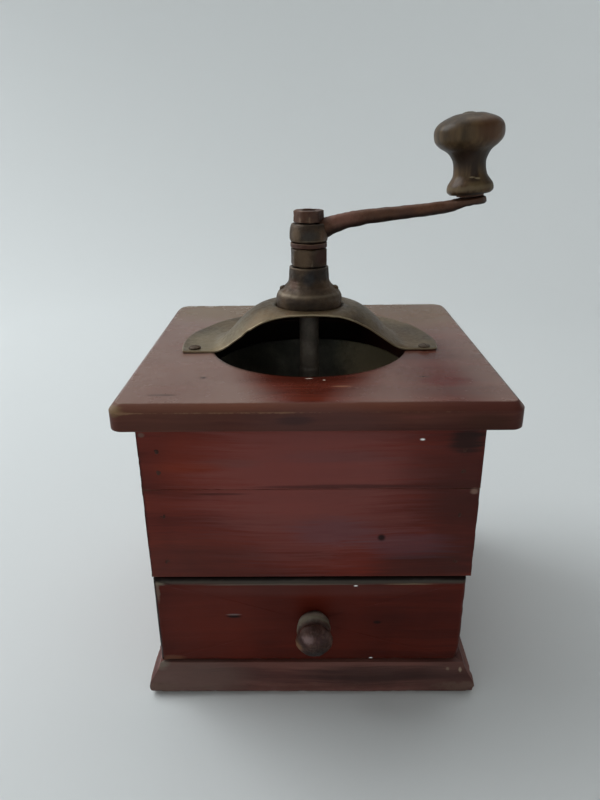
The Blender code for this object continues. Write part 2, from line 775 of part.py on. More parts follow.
def mesh_from_curve(curve_object, name, material, parent):
    """The curve's evaluated mesh, with its caps welded, as a new object in its place."""
    bpy.context.view_layer.update()
    evaluated = curve_object.evaluated_get(bpy.context.evaluated_depsgraph_get())
    mesh = bpy.data.meshes.new_from_object(evaluated)
    mesh.name = name
    bm = bmesh.new()
    bm.from_mesh(mesh)
    bmesh.ops.remove_doubles(bm, verts=bm.verts, dist=WELD)
    bmesh.ops.recalc_face_normals(bm, faces=bm.faces)
    bm.to_mesh(mesh)
    bm.free()
    shade_round(mesh)
    mesh.materials.clear()
    made = add_object(name, mesh, material, parent)
    made.matrix_world = curve_object.matrix_world
    bpy.data.objects.remove(curve_object, do_unlink=True)
    return made


def make_yoke(deck):
    height = deck_bottom - CLEARANCE - yoke_bottom
    half = YOKE_HALF_SPAN
    thick = YOKE_THICKNESS
    right = [
        (half, 0),
        (half, height - thick),
        (half + YOKE_FOOT, height - thick),
        (half + YOKE_FOOT, height),
        (half - thick, height),
        (half - thick, thick),
    ]
    outline = right + [(-x, z) for x, z in reversed(right)]
    curve = bpy.data.curves.new("yoke_outline", "CURVE")
    curve.dimensions = "2D"
    curve.fill_mode = "BOTH"
    curve.extrude = YOKE_WIDTH / 2
    spline = curve.splines.new("POLY")
    spline.points.add(len(outline) - 1)
    for point, (x, z) in zip(spline.points, outline):
        point.co = (x, z, 0, 1)
    spline.use_cyclic_u = True
    drawn = bpy.data.objects.new("yoke_outline", curve)
    grinder.objects.link(drawn)
    drawn.location = (0, mill_y, yoke_bottom)
    drawn.rotation_euler.x = math.pi / 2
    yoke = mesh_from_curve(drawn, "bearing_yoke", cast_iron, None)
    drill = YOKE_THICKNESS + 2 * OVERRUN
    bush_hole = LOWER_BUSH_RADIUS + CLEARANCE
    cut(yoke, prism("bush_hole", bush_hole, drill, TURNED_STEPS, None, mill, (0, 0, yoke_bottom - OVERRUN)))
    length = YOKE_THICKNESS + CLEARANCE + DECK_THICKNESS / 2
    foot_bottom = yoke_bottom + height - thick
    for side, name in ((-1, "yoke_screw_left"), (1, "yoke_screw_right")):
        place = (side * (half + YOKE_FOOT / 2), mill_y, foot_bottom)
        fastener(name, YOKE_SCREW, length, place, math.pi, [yoke, deck], cast_iron)
    bore = JOURNAL_RADIUS + CLEARANCE
    flange_bottom = lower_bush_top - LOWER_BUSH_FLANGE_THICKNESS
    profile = [
        (LOWER_BUSH_FLANGE_RADIUS, lower_bush_top),
        (LOWER_BUSH_FLANGE_RADIUS, flange_bottom),
        (LOWER_BUSH_RADIUS, flange_bottom),
        (LOWER_BUSH_RADIUS, yoke_bottom),
        (bore, yoke_bottom),
        (bore, lower_bush_top),
    ]
    turned("lower_bush", profile, TURNED_STEPS, spindle_steel, mill, hollow=True)


def make_spindle():
    collar_bottom = cone_top + CLEARANCE
    collar_top = collar_bottom + COLLAR_HEIGHT
    shoulder = cone_bottom
    neck_bottom = top_bottom
    profile = [
        (0, spindle_tip),
        (THREAD_RADIUS - THREAD_CHAMFER, spindle_tip),
        (THREAD_RADIUS, spindle_tip - THREAD_CHAMFER),
        (THREAD_RADIUS, tang_bottom),
        (SPINDLE_NECK_RADIUS, tang_bottom),
        (SPINDLE_NECK_RADIUS, neck_bottom),
        (SPINDLE_RADIUS, neck_bottom),
        (SPINDLE_RADIUS, collar_top),
        (COLLAR_RADIUS, collar_top),
        (COLLAR_RADIUS, collar_bottom),
        (SPINDLE_RADIUS, collar_bottom),
        (SPINDLE_RADIUS, shoulder),
        (JOURNAL_RADIUS, shoulder),
        (JOURNAL_RADIUS, spindle_bottom),
        (0, spindle_bottom),
    ]
    spindle = turned("spindle", profile, TURNED_STEPS, spindle_steel, mill)
    tang_top = eye_top - GRIND_LIFT
    height = tang_top - tang_bottom + CLEARANCE
    place = (0, 0, tang_bottom - CLEARANCE)
    tang = prism("tang", tang_half_diagonal, height, 4, None, mill, place, math.pi / 4)
    join_or_cut(spindle, tang, "UNION")


def make_top_stack():
    nut_place = (0, 0, adjusting_nut_bottom)
    turn = ADJUSTING_NUT_TURN
    height = ADJUSTING_NUT_HEIGHT
    hex_nut("adjusting_nut", ADJUSTING_NUT_FLATS, height, neck_hole, turn, cast_iron, mill, nut_place)
    rim = CRANK_WASHER_RADIUS - NUT_EASE
    profile = [
        (rim, crank_washer_top),
        (CRANK_WASHER_RADIUS, crank_washer_top - NUT_EASE),
        (CRANK_WASHER_RADIUS, crank_washer_bottom + NUT_EASE),
        (rim, crank_washer_bottom),
        (neck_hole, crank_washer_bottom),
        (neck_hole, crank_washer_top),
    ]
    turned("crank_washer", profile, TURNED_STEPS, cast_iron, mill, hollow=True)
    thread_hole = THREAD_RADIUS + CLEARANCE
    nut_place = (0, 0, top_nut_bottom)
    hex_nut("top_nut", TOP_NUT_FLATS, TOP_NUT_HEIGHT, thread_hole, TOP_NUT_TURN, rusty_steel, mill, nut_place)


def make_crank():
    eye_middle = between(eye_bottom, eye_top)
    curve = bpy.data.curves.new("arm_path", "CURVE")
    curve.dimensions = "3D"
    curve.bevel_depth = ARM_ROOT_RADIUS
    curve.bevel_resolution = 2
    curve.use_fill_caps = True
    curve.resolution_u = 2
    spline = curve.splines.new("BEZIER")
    spline.bezier_points.add(len(ARM_SHARES) - 1)
    for point, (along, rise, girth) in zip(spline.bezier_points, ARM_SHARES):
        point.co = (along * CRANK_RADIUS, 0, rise * CRANK_RISE)
        point.radius = girth
        point.handle_left_type = "AUTO"
        point.handle_right_type = "AUTO"
    drawn = bpy.data.objects.new("arm_path", curve)
    grinder.objects.link(drawn)
    drawn.location = (0, mill_y, eye_middle)
    arm = mesh_from_curve(drawn, "crank_arm", rusty_steel, None)

    profile = [(radius * EYE_RADIUS, eye_bottom + height * EYE_HEIGHT) for radius, height in EYE_SHARES]
    profile = [(0, eye_top)] + profile + [(0, eye_bottom)]
    eye = turned("eye_blank", profile, TURNED_STEPS, None, mill)
    join_or_cut(arm, eye, "UNION")
    pad = prism("pad_blank", PAD_RADIUS, PAD_THICKNESS, TURNED_STEPS, None, knob_axis, (0, 0, -PAD_THICKNESS))
    join_or_cut(arm, pad, "UNION")
    over_pad = (0, 0, 0)
    spot = prism("knob_seat", PAD_RADIUS + OVERRUN, EYE_HEIGHT, TURNED_STEPS, None, knob_axis, over_pad)
    cut(arm, spot)
    seat_radius = TOP_NUT_FLATS / math.sqrt(3) + CLEARANCE
    seat = prism("top_nut_seat", seat_radius, TOP_NUT_HEIGHT, TURNED_STEPS, None, mill, (0, 0, eye_top))
    cut(arm, seat)
    square = tang_half_diagonal + CLEARANCE * math.sqrt(2)
    depth = EYE_HEIGHT + 2 * OVERRUN
    place = (0, 0, eye_bottom - OVERRUN)
    cut(arm, prism("square_hole", square, depth, 4, None, mill, place, math.pi / 4))
    pin_hole = KNOB_PIN_RADIUS + CLEARANCE
    depth = KNOB_PIN_DEPTH + 2 * OVERRUN
    place = (0, 0, -KNOB_PIN_DEPTH - OVERRUN)
    cut(arm, prism("pin_hole", pin_hole, depth, SMALL_STEPS * 2, None, knob_axis, place))


def make_crank_knob():
    washer_bottom = CLEARANCE
    washer_top = washer_bottom + KNOB_WASHER_THICKNESS
    knob_bottom = washer_top + CLEARANCE
    knob_top = knob_bottom + KNOB_HEIGHT
    head_seat = knob_top + CLEARANCE
    bore = KNOB_PIN_RADIUS + CLEARANCE
    ring = [(KNOB_WASHER_RADIUS, washer_top), (KNOB_WASHER_RADIUS, washer_bottom)]
    ring += [(bore, washer_bottom), (bore, washer_top)]
    turned("knob_washer", ring, TURNED_STEPS, rusty_steel, knob_axis, hollow=True)
    profile = [(radius * KNOB_RADIUS, knob_bottom + height * KNOB_HEIGHT) for radius, height in KNOB_SHARES]
    profile += [(bore, knob_bottom), (bore, knob_top)]
    turned("crank_knob", profile, TURNED_STEPS, knob_wood, knob_axis, hollow=True)
    head = KNOB_PIN_HEAD_RADIUS
    rise = KNOB_PIN_HEAD_RISE
    pin = [(0, head_seat + rise)] + [(head * out, head_seat + rise * up) for out, up in KNOB_PIN_HEAD_SHARES]
    pin += [
        (head, head_seat),
        (KNOB_PIN_RADIUS, head_seat),
        (KNOB_PIN_RADIUS, -KNOB_PIN_DEPTH),
        (0, -KNOB_PIN_DEPTH),
    ]
    turned("knob_pin", pin, SMALL_STEPS * 2, rusty_steel, knob_axis)


def make_drawer():
    front_low = body_bottom
    middle = between(front_low, drawer_front_top)
    front_back_face = front_face + FRONT_THICKNESS
    drawer = new_empty("drawer_slide", (0, front_face, middle))
    width = BODY_WIDTH - 2 * DRAWER_FRONT_PLAY
    levels = round_levels(FRONT_THICKNESS, DRAWER_FRONT_ROUND, BOARD_EASE)
    front = moulded_board(
        "drawer_front",
        width,
        DRAWER_FRONT_HEIGHT,
        DRAWER_FRONT_CORNER,
        levels,
        panel_wood,
        drawer,
        (0, FRONT_THICKNESS, 0),
        math.pi / 2,
    )
    outer = inner_half_width - DRAWER_SIDE_PLAY
    inner = outer - DRAWER_WALL
    near = front_back_face + CLEARANCE
    far = side_back + CLEARANCE - DRAWER_BACK_PLAY
    low = body_bottom
    high = low + DRAWER_BOX_HEIGHT
    board("drawer_side_left", (-outer, near, low), (-inner, far, high), inner_wood, drawer)
    board("drawer_side_right", (inner, near, low), (outer, far, high), inner_wood, drawer)
    inside = inner - CLEARANCE
    back_near = far - DRAWER_WALL
    board("drawer_back", (-inside, back_near, low), (inside, far, high), inner_wood, drawer)
    floor_high = (inside, back_near - CLEARANCE, low + DRAWER_FLOOR)
    board("drawer_bottom", (-inside, near, low), floor_high, inner_wood, drawer)

    knob_length = DRAWER_KNOB_LENGTH
    profile = [(0, knob_length)]
    for radius, distance in DRAWER_KNOB_SHARES:
        profile.append((radius * DRAWER_KNOB_RADIUS, distance * knob_length))
    profile.append((0, 0))
    knob_place = (DRAWER_KNOB_ASIDE, -CLEARANCE, DRAWER_KNOB_RISE)
    knob = turned(
        "drawer_knob", profile, TURNED_STEPS, drawer_knob_wood, drawer, knob_place, math.pi / 2
    )
    screw_place = (DRAWER_KNOB_ASIDE, front_back_face, middle + DRAWER_KNOB_RISE)
    length = FRONT_THICKNESS + CLEARANCE + KNOB_SCREW_BITE
    pieces = [front, knob]
    fastener("drawer_knob_screw", KNOB_SCREW, length, screw_place, -math.pi / 2, pieces, nail_steel, drawer)


pad_top = between(eye_bottom, eye_top) + CRANK_RISE
knob_axis = new_empty("knob_axis", (CRANK_RADIUS, mill_y, pad_top), KNOB_LEAN)

make_base()
make_body()
top_board = make_top()
dome_plate = make_plate(top_board)
make_bushing(dome_plate)
make_hopper(top_board)
mill_deck = make_deck()
make_burrs(mill_deck)
make_yoke(mill_deck)
make_spindle()
make_top_stack()
make_crank()
make_crank_knob()
make_drawer()
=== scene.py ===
import json
import math

import bpy
import numpy as np
from mathutils import Matrix, Vector


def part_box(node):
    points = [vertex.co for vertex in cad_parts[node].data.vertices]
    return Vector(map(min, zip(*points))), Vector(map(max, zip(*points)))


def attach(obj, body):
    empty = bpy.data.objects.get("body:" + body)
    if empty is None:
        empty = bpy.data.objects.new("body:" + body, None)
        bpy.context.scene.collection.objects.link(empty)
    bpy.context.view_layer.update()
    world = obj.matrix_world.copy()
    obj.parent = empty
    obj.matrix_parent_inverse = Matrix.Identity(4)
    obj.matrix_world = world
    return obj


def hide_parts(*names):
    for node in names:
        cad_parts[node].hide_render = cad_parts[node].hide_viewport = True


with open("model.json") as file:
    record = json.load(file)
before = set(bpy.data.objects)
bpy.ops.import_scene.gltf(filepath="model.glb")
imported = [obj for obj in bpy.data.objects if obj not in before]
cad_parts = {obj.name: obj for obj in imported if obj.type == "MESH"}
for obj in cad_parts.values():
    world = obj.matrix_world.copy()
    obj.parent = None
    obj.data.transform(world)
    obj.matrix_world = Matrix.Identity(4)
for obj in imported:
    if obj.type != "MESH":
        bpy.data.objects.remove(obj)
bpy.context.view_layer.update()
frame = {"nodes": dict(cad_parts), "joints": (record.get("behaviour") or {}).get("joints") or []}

# Old hand-cranked box coffee mill: stained boards, a patinated steel dome, rusty iron hub and crank.
# Lengths are in metres, in the frame's own axes: +Z up, the drawer opens towards -Y, the crank points to +X.

millimetre = 0.001
mill = np.array(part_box("bushing")).mean(0) * (1, 1, 0)  # the spindle's axis, at the table's height


# Small helpers for node trees

def linear(color):
    # sRGB hex to linear light
    values = [int(color[i:i + 2], 16) / 255 for i in (1, 3, 5)]
    return [v / 12.92 if v <= 0.04045 else ((v + 0.055) / 1.055) ** 2.4 for v in values] + [1.0]


def add(tree, kind, own, inputs, output=0):
    # Adds a node with its own settings. An input is a socket to link, an sRGB hex colour or a plain value.
    made = tree.nodes.new("ShaderNode" + kind)
    for key, value in own.items():
        if key == "stops":  # three colours, at both ends and the middle of the ramp
            made.color_ramp.elements.new(0.5)
            for element, color in zip(made.color_ramp.elements, value):
                element.color = linear(color)
        else:
            setattr(made, key, value)
    for key, value in inputs.items():
        if isinstance(value, bpy.types.NodeSocket):
            tree.links.new(value, made.inputs[key])
        else:
            made.inputs[key].default_value = linear(value) if isinstance(value, str) else value
    return made.outputs[output]


smooth = {"interpolation_type": "SMOOTHSTEP"}  # a Map Range's inputs: value, from low and high, to low and high
times = {"operation": "MULTIPLY"}
timesPlus = {"operation": "MULTIPLY_ADD"}


def newFinish(name, settings):
    material = bpy.data.materials.new(name)
    material.use_nodes = True
    shader = material.node_tree.nodes["Principled BSDF"]
    for socket, value in settings.items():
        shader.inputs[socket].default_value = value
    return material, material.node_tree, shader


# Camera and light

def newObject(name, data):
    made = bpy.data.objects.new(name, data)
    bpy.context.scene.collection.objects.link(made)
    return made


cameraLooks = {
    "focalPixels": 648.7,  # focal length in pixels of an image 800 high
    "imageHeight": 800,
    "sensorHeight": 24.0,
    "place": (-0.00135, -0.31724, 0.25181),
    "pitch": 22.17,  # degrees down
    "yaw": -0.66,
    "roll": -0.61,
}


def makeCamera(looks):
    pitch, yaw, roll = (math.radians(looks[key]) for key in ("pitch", "yaw", "roll"))
    forward = Vector((math.sin(yaw) * math.cos(pitch), math.cos(yaw) * math.cos(pitch), -math.sin(pitch)))
    right = Vector((math.cos(yaw), -math.sin(yaw), 0))
    up = right.cross(forward)
    rolledRight = right * math.cos(roll) + up * math.sin(roll)
    rolledUp = up * math.cos(roll) - right * math.sin(roll)
    turn = Matrix((rolledRight, rolledUp, -forward)).transposed().to_4x4()
    data = bpy.data.cameras.new("photoCamera")
    data.sensor_fit = "VERTICAL"
    data.sensor_height = looks["sensorHeight"]
    data.lens = looks["focalPixels"] / looks["imageHeight"] * looks["sensorHeight"]
    data.clip_start = 0.01
    camera = newObject("photoCamera", data)
    camera.matrix_world = Matrix.Translation(looks["place"]) @ turn
    bpy.context.scene.camera = camera


lightLooks = {
    # name: place, width, height, watts, colour
    "windowLight": ((-1.15, 0.45, 1.25), 1.2, 1.2, 19.0, (0.94, 0.98, 1.0)),
    "ceilingLight": ((0.1, 0.75, 1.75), 1.6, 1.2, 6.0, (0.97, 0.99, 1.0)),
    "roomLight": ((-0.3, -1.5, 1.1), 1.2, 1.0, 3.0, (1.0, 0.94, 0.88)),
}
worldLooks = {
    "color": (0.90, 0.94, 0.95), "bright": 0.62, "dim": 0.12,
    "towards": (-0.62, 0.72, 0.30), "fade": (-0.3, 0.9),
}
aimPoint = Vector((0, 0, 0.12))


def makeLights():
    for name, (place, width, height, watts, color) in lightLooks.items():
        data = bpy.data.lights.new(name, "AREA")
        data.shape = "RECTANGLE"
        data.size, data.size_y, data.energy, data.color = width, height, watts, color
        light = newObject(name, data)
        light.location = place
        light.rotation_euler = (aimPoint - Vector(place)).to_track_quat("-Z", "Y").to_euler()
    world = bpy.data.worlds.new("studio")
    bpy.context.scene.world = world
    world.use_nodes = True
    tree = world.node_tree
    sky = tree.nodes["Background"]
    sky.inputs["Color"].default_value = (*worldLooks["color"], 1)
    # the room is brightest on the window's side and dim behind the camera
    direction = add(tree, "TexCoord", {}, {})
    towards = add(tree, "VectorMath", {"operation": "DOT_PRODUCT"}, {0: direction, 1: worldLooks["towards"]}, 1)
    low, high = worldLooks["fade"]
    strength = {0: towards, 1: low, 2: high, 3: worldLooks["dim"], 4: worldLooks["bright"]}
    tree.links.new(add(tree, "MapRange", smooth, strength), sky.inputs["Strength"])


makeCamera(cameraLooks)
makeLights()
bpy.context.scene.view_settings.view_transform = "Standard"
print("camera and lights made")


# Materials

def layered(tree, color, *layers):
    # Lays each tint over the colour by its share
    for share, tint in layers:
        color = add(tree, "Mix", {"data_type": "RGBA"}, {0: share, 6: color, 7: tint}, 2)
    return color


markCore = 0.35  # a mark is at its full strength out to this share of its size
rubSpan = 0.35
smearTones = {1: 0.3, 2: 0.7}


def markShares(tree, place, marks, breakUp):
    # A mark is a soft ellipsoid: its middle and half sizes in millimetres, its colour, its strength, and how far
    # the noise breaks its edge
    for *lengths, tint, strength, ragged in marks:
        at, size = ([length * millimetre for length in lengths[i:i + 3]] for i in (0, 3))
        offset = add(tree, "VectorMath", {"operation": "SUBTRACT"}, {0: place, 1: at})
        scaled = add(tree, "VectorMath", {"operation": "DIVIDE"}, {0: offset, 1: size})
        reach = add(tree, "VectorMath", {"operation": "LENGTH"}, {0: scaled}, 1)
        reach = add(tree, "Math", timesPlus, {0: breakUp, 1: ragged, 2: reach})
        edge = {0: reach, 1: 1.0 + ragged / 2, 2: markCore + ragged / 2, 4: strength}
        yield add(tree, "MapRange", smooth, edge), tint


def wornSurface(tree, shader, looks, color, ragged, smear, height):
    # Rubs the arrises bare, lays on the dirt and the painted shade, and takes roughness and relief from the noises
    # given
    wear, grime = (add(tree, "Attribute", {"attribute_name": name}, {}, 2) for name in ("wear", "grime"))
    rubbed = add(tree, "Math", timesPlus, {0: ragged, 1: looks["wearRagged"], 2: wear})
    low = looks["wearFrom"]
    rubbed = add(tree, "MapRange", smooth, {0: rubbed, 1: low, 2: low + rubSpan, 4: looks["wear"]})
    color = layered(tree, color, (rubbed, looks["bare"]), (grime, looks["grime"]))
    low, high = looks["rough"]
    rough = add(tree, "MapRange", smooth, {0: smear, **smearTones, 3: low, 4: high})
    rough = add(tree, "Math", {**timesPlus, "use_clamp": True}, {0: rubbed, 1: looks["rubbedRough"], 2: rough})
    bump = add(tree, "Bump", {}, {"Strength": looks["bump"], "Distance": looks["relief"], "Height": height})
    for socket, value in (("Base Color", color), ("Roughness", rough), ("Normal", bump)):
        tree.links.new(value, shader.inputs[socket])


def woodFinish(name, looks):
    # Stained open-grained hardwood: long streaks, short dark pores, blotchy stain, pale worn arrises
    material, tree, shader = newFinish(name, looks["shader"])
    place = add(tree, "TexCoord", {}, {}, 3)
    turned = add(tree, "Mapping", {}, {0: place, "Rotation": looks["turn"], "Location": looks["shift"]})
    sway = add(tree, "TexNoise", {}, {"Vector": turned, "Scale": looks["swayScale"], "Detail": 2.0}, 1)
    sway = add(tree, "VectorMath", timesPlus, {0: sway, 1: (0, looks["sway"], looks["sway"]), 2: (0, 0, 0)})
    grain = add(tree, "VectorMath", {}, {0: turned, 1: sway})
    noises = []
    for long, wide, detail in looks["grain"]:  # length and width of a streak, in metres
        streak = add(tree, "Mapping", {}, {0: grain, "Scale": (1 / long, 1 / wide, 1 / wide)})
        streak = {"Vector": streak, "Scale": 1.0, "Detail": detail, "Roughness": 0.6}
        noises.append(add(tree, "TexNoise", {}, streak))
    figure, streaks, pores = noises
    figure = add(tree, "Math", times, {0: figure, 1: 1.05 - looks["streaks"]})
    tone = add(tree, "Math", timesPlus, {0: streaks, 1: looks["streaks"], 2: figure})
    low, high = looks["tone"]
    tone = add(tree, "MapRange", smooth, {0: tone, 1: low, 2: high})
    color = add(tree, "ValToRGB", {"stops": looks["stops"]}, {0: tone})
    blotch = add(tree, "TexNoise", {}, {"Vector": turned, "Scale": looks["blotchScale"], "Detail": 3.0})
    warm, deep = (
        add(tree, "MapRange", smooth, {0: blotch, 1: 0.5, 2: full, 4: looks["blotch"]}) for full in (0.72, 0.30)
    )
    low, high = looks["poreTone"]
    pores = add(tree, "MapRange", smooth, {0: pores, 1: low, 2: high})
    dark = add(tree, "Math", times, {0: pores, 1: looks["pores"]})
    color = layered(tree, color, (warm, looks["warm"]), (deep, looks["deep"]), (dark, looks["deep"]))
    # a haze colour over the stain; on the top board it also stands in for painted sheen
    if looks["dust"]:
        dust = add(tree, "Attribute", {"attribute_name": "dust"}, {}, 2)
        color = layered(tree, color, (dust, looks["dust"]))
    color = layered(tree, color, *markShares(tree, place, looks["marks"], streaks))
    breakUp, smear = (
        add(tree, "TexNoise", {}, {"Vector": turned, "Scale": looks[scale], "Detail": 4.0, "Roughness": rough})
        for scale, rough in (("breakScale", 0.65), ("smearScale", 0.7))
    )
    height = add(tree, "Math", timesPlus, {0: pores, 1: looks["poreDepth"], 2: streaks})
    height = add(tree, "Math", timesPlus, {0: breakUp, 1: looks["breakHeight"], 2: height})
    wornSurface(tree, shader, looks, color, breakUp, smear, height)
    return material


def metalFinish(name, looks):
    # Iron or steel under patina and rust: blotches of two colours, dark pits, brighter rubbed edges
    material, tree, shader = newFinish(name, looks["shader"])
    place = add(tree, "TexCoord", {}, {}, 3)
    turned = add(tree, "Mapping", {}, {0: place, "Location": looks["shift"]})
    broad, fine = (
        add(tree, "TexNoise", {}, {"Vector": turned, "Scale": looks[scale], "Detail": 5.0, "Roughness": rough})
        for scale, rough in (("broadScale", 0.65), ("fineScale", 0.7))
    )
    low, high = looks["tone"]
    tone = add(tree, "MapRange", smooth, {0: broad, 1: low, 2: high})
    color = add(tree, "ValToRGB", {"stops": looks["stops"]}, {0: tone})
    rust = add(tree, "Math", timesPlus, {0: fine, 1: 0.5, 2: add(tree, "Math", times, {0: broad, 1: 0.5})})
    low = looks["rustTone"] - looks["rustShare"] * looks["rustReach"]
    rust = add(tree, "MapRange", smooth, {0: rust, 1: low, 2: low + looks["rustSpan"], 4: looks["rust"]})
    pits = add(tree, "TexVoronoi", {}, {"Vector": turned, "Scale": looks["pitScale"]})
    outer, inner = looks["pitSize"]
    pits = add(tree, "MapRange", smooth, {0: pits, 1: outer, 2: inner, 4: looks["pits"]})
    marks = markShares(tree, place, looks["marks"], fine)
    color = layered(tree, color, (rust, looks["rustColor"]), (pits, looks["pitColor"]), *marks)
    height = add(tree, "Math", timesPlus, {0: pits, 1: looks["pitDepth"], 2: fine})
    wornSurface(tree, shader, {**looks, "grime": looks["pitColor"]}, color, fine, fine, height)
    return material


# Mahogany-stained panels: thin worn shellac over open grain, so dull, with rubbed pale arrises
panelWoodLooks = {
    "shader": {"Specular IOR Level": 0.16},
    "shift": (0.0, 0.0, 0.0), "turn": (0, 0, 0), "dust": None,
    "grain": ((0.20, 0.011, 4.0), (0.07, 0.0015, 4.0), (0.012, 0.00045, 2.0)),
    "stops": ("#48170f", "#5c2017", "#6e2a1e"),
    "blotchScale": 17.0, "blotch": 0.45, "warm": "#762414", "deep": "#36120d",
    "streaks": 0.26, "pores": 0.30, "grime": "#120a08",
    "swayScale": 16.0, "sway": 0.006, "tone": (0.36, 0.70), "poreTone": (0.62, 0.72), "poreDepth": -0.6,
    "breakScale": 420.0, "breakHeight": 0.35, "smearScale": 60.0,
    "wearRagged": 0.7, "wearFrom": 0.95, "wear": 0.55, "bare": "#5f4436",
    "rough": (0.36, 0.54), "rubbedRough": 0.2, "bump": 0.22, "relief": 0.0004,
    "marks": (
        (-46, -73, 124, 34, 20, 22, "#762b1a", 0.5, 0.2), (0, -73, 115, 64, 20, 58, "#7f4742", 0.68, 1),
        (66, -73, 120, 34, 20, 34, "#431e19", 0.5, 1), (-55, -73, 70, 44, 20, 26, "#48241e", 0.5, 1),
        (52, -73, 68, 36, 20, 14, "#2c1815", 0.55, 1), (66, -73, 96, 18, 20, 50, "#3a1a15", 0.35, 0.2),
        (10, -73, 89, 26, 20, 10, "#5c4049", 0.42, 1.2), (42, -73, 82, 28, 20, 9, "#5c424b", 0.42, 1.2),
        # painted shade down the left corner, and a thin painted shadow line under the top board's overhang
        (-73.5, -73, 105, 2.2, 10, 70, "#1c0f0c", 0.6, 0.6), (0, -73, 142, 85, 20, 0.9, "#1a0c0a", 0.6, 0.2),
        (-36, -73, 123.5, 20, 20, 3, "#5b4240", 0.25, 1.2), (12, -73, 126.5, 34, 20, 4, "#5b4144", 0.25, 1.2),
        (-52, -73, 121.5, 20, 20, 3.5, "#7a2c16", 0.5, 0.8),
        (18, -73, 112, 52, 20, 1.4, "#1d0c0a", 0.55, 0.9),
        (-40, -73, 108.5, 16, 20, 0.8, "#2a110d", 0.5, 0.9),
        (65.5, -73, 133.5, 10, 10, 8.8, "#17100e", 0.75, 0.9),
        (31.4, -73, 86, 2.4, 10, 2.4, "#1c0a09", 0.95, 0.2),
        (70.5, -73, 109.4, 2.4, 10, 2, "#7c6155", 0.9, 0.6),
        (-70.6, -73, 136.9, 1.8, 10, 1.6, "#6b554b", 0.7, 0.6),
        # a painted glint
        (46.7, -73.5, 134.2, 1.4, 3, 0.7, "#ffffff", 1, 0.2),
    ),
}
drawerWoodLooks = dict(
    panelWoodLooks,
    shader={"Specular IOR Level": 0.12},
    shift=(0.31, 0.02, 0.07),
    stops=("#3a110a", "#49170e", "#5a1f13"),
    warm="#611d0f", bare="#6a5646", wearFrom=1.0, wear=0.5,
    marks=(
        (-46, -73, 40, 40, 20, 34, "#64261a", 0.55, 0.2), (6, -73, 40, 34, 20, 34, "#5e1f12", 0.5, 0.2),
        (0, -73, 57.5, 75, 20, 5, "#5d332d", 0.5, 0.3), (0, -73, 62.2, 160, 20, 2.2, "#43423b", 0.85, 0.3),
        (-20, -73.5, 60.6, 54, 10, 0.6, "#6b6459", 0.5, 1.2),
        (46, -73.5, 60.6, 16, 10, 0.5, "#85785f", 0.6, 1), (-71, -73, 57, 1.3, 10, 8, "#6f5c50", 0.75, 1.2),
        (-70.5, -73, 61.2, 4, 10, 1.4, "#6f6557", 0.8, 0.9),
        (-67, -73, 17.6, 7.5, 10, 2.4, "#6b4533", 0.7, 0.8),
        # a painted glint
        (28.8, -73, 17.1, 1.1, 4, 0.6, "#ffffff", 1, 0.2),
        (-36.4, -73, 42.2, 5, 10, 1.1, "#0c0807", 0.9, 0.5),
        (-36.4, -73, 43.4, 4.6, 10, 0.6, "#6f6462", 0.8, 0.5),
        (31.1, -73, 38.7, 2.6, 10, 1.4, "#120d0a", 0.8, 0.6),
        # a painted glint
        (20.6, -73.3, 59.8, 1.2, 4, 0.5, "#ffffff", 1, 0.2),
    ),
)
# The top board: fuller shellac, so its sheen mirrors the wall and, in front of the hole, the dark hub; its haze
# colour paints in more of that sheen
topWoodLooks = dict(
    panelWoodLooks,
    shader={"Specular IOR Level": 0.15},
    shift=(0.1, 0.3, 0.0), streaks=0.35, dust="#82695f",
    stops=("#43150d", "#532014", "#65291b"),
    warm="#6b2716", deep="#38120c", blotch=0.30,
    wearFrom=0.85, wear=0.5, bare="#6a5440",
    rough=(0.22, 0.30), bump=0.06,
    marks=(
        # bloomed haze with painted sheen of the wall, at the back left and back right
        (-40, 70, 154, 70, 40, 10, "#6d5b3a", 0.55, 0.3), (55, 60, 154, 55, 50, 10, "#664f30", 0.55, 0.3),
        # the first mark is painted shade from the hub, darkening the top in front of the hole
        (0, -50, 154, 34, 16, 10, "#2c0e08", 0.55, 0.3), (59, -44, 154, 12, 16, 10, "#5c2114", 0.6, 0.4),
        (58.5, -56, 154, 14, 9, 10, "#571306", 0.9, 0.4),
        (13.2, -62.2, 154, 5.5, 1.1, 10, "#a8785c", 0.4, 0.8),
        (-42.9, -23.2, 154, 0.7, 0.7, 10, "#d8d0c4", 0.9, 0.2),
        (-46.8, -50.8, 154, 2.4, 1.4, 10, "#2a1511", 0.9, 0.4),
        (49.8, -51, 154, 3.6, 0.8, 10, "#2a1511", 0.9, 0.4),
        (-60.7, -70.9, 154, 9, 1.4, 10, "#3a231c", 0.6, 0.9),
        # painted glints on the hole's front edge
        (-0.4, -52.5, 154, 2.2, 0.6, 10, "#b9a99b", 0.9, 0.4),
        (6.1, -54.5, 154, 0.8, 0.8, 10, "#b9a99b", 0.9, 0.2),
    ),
)
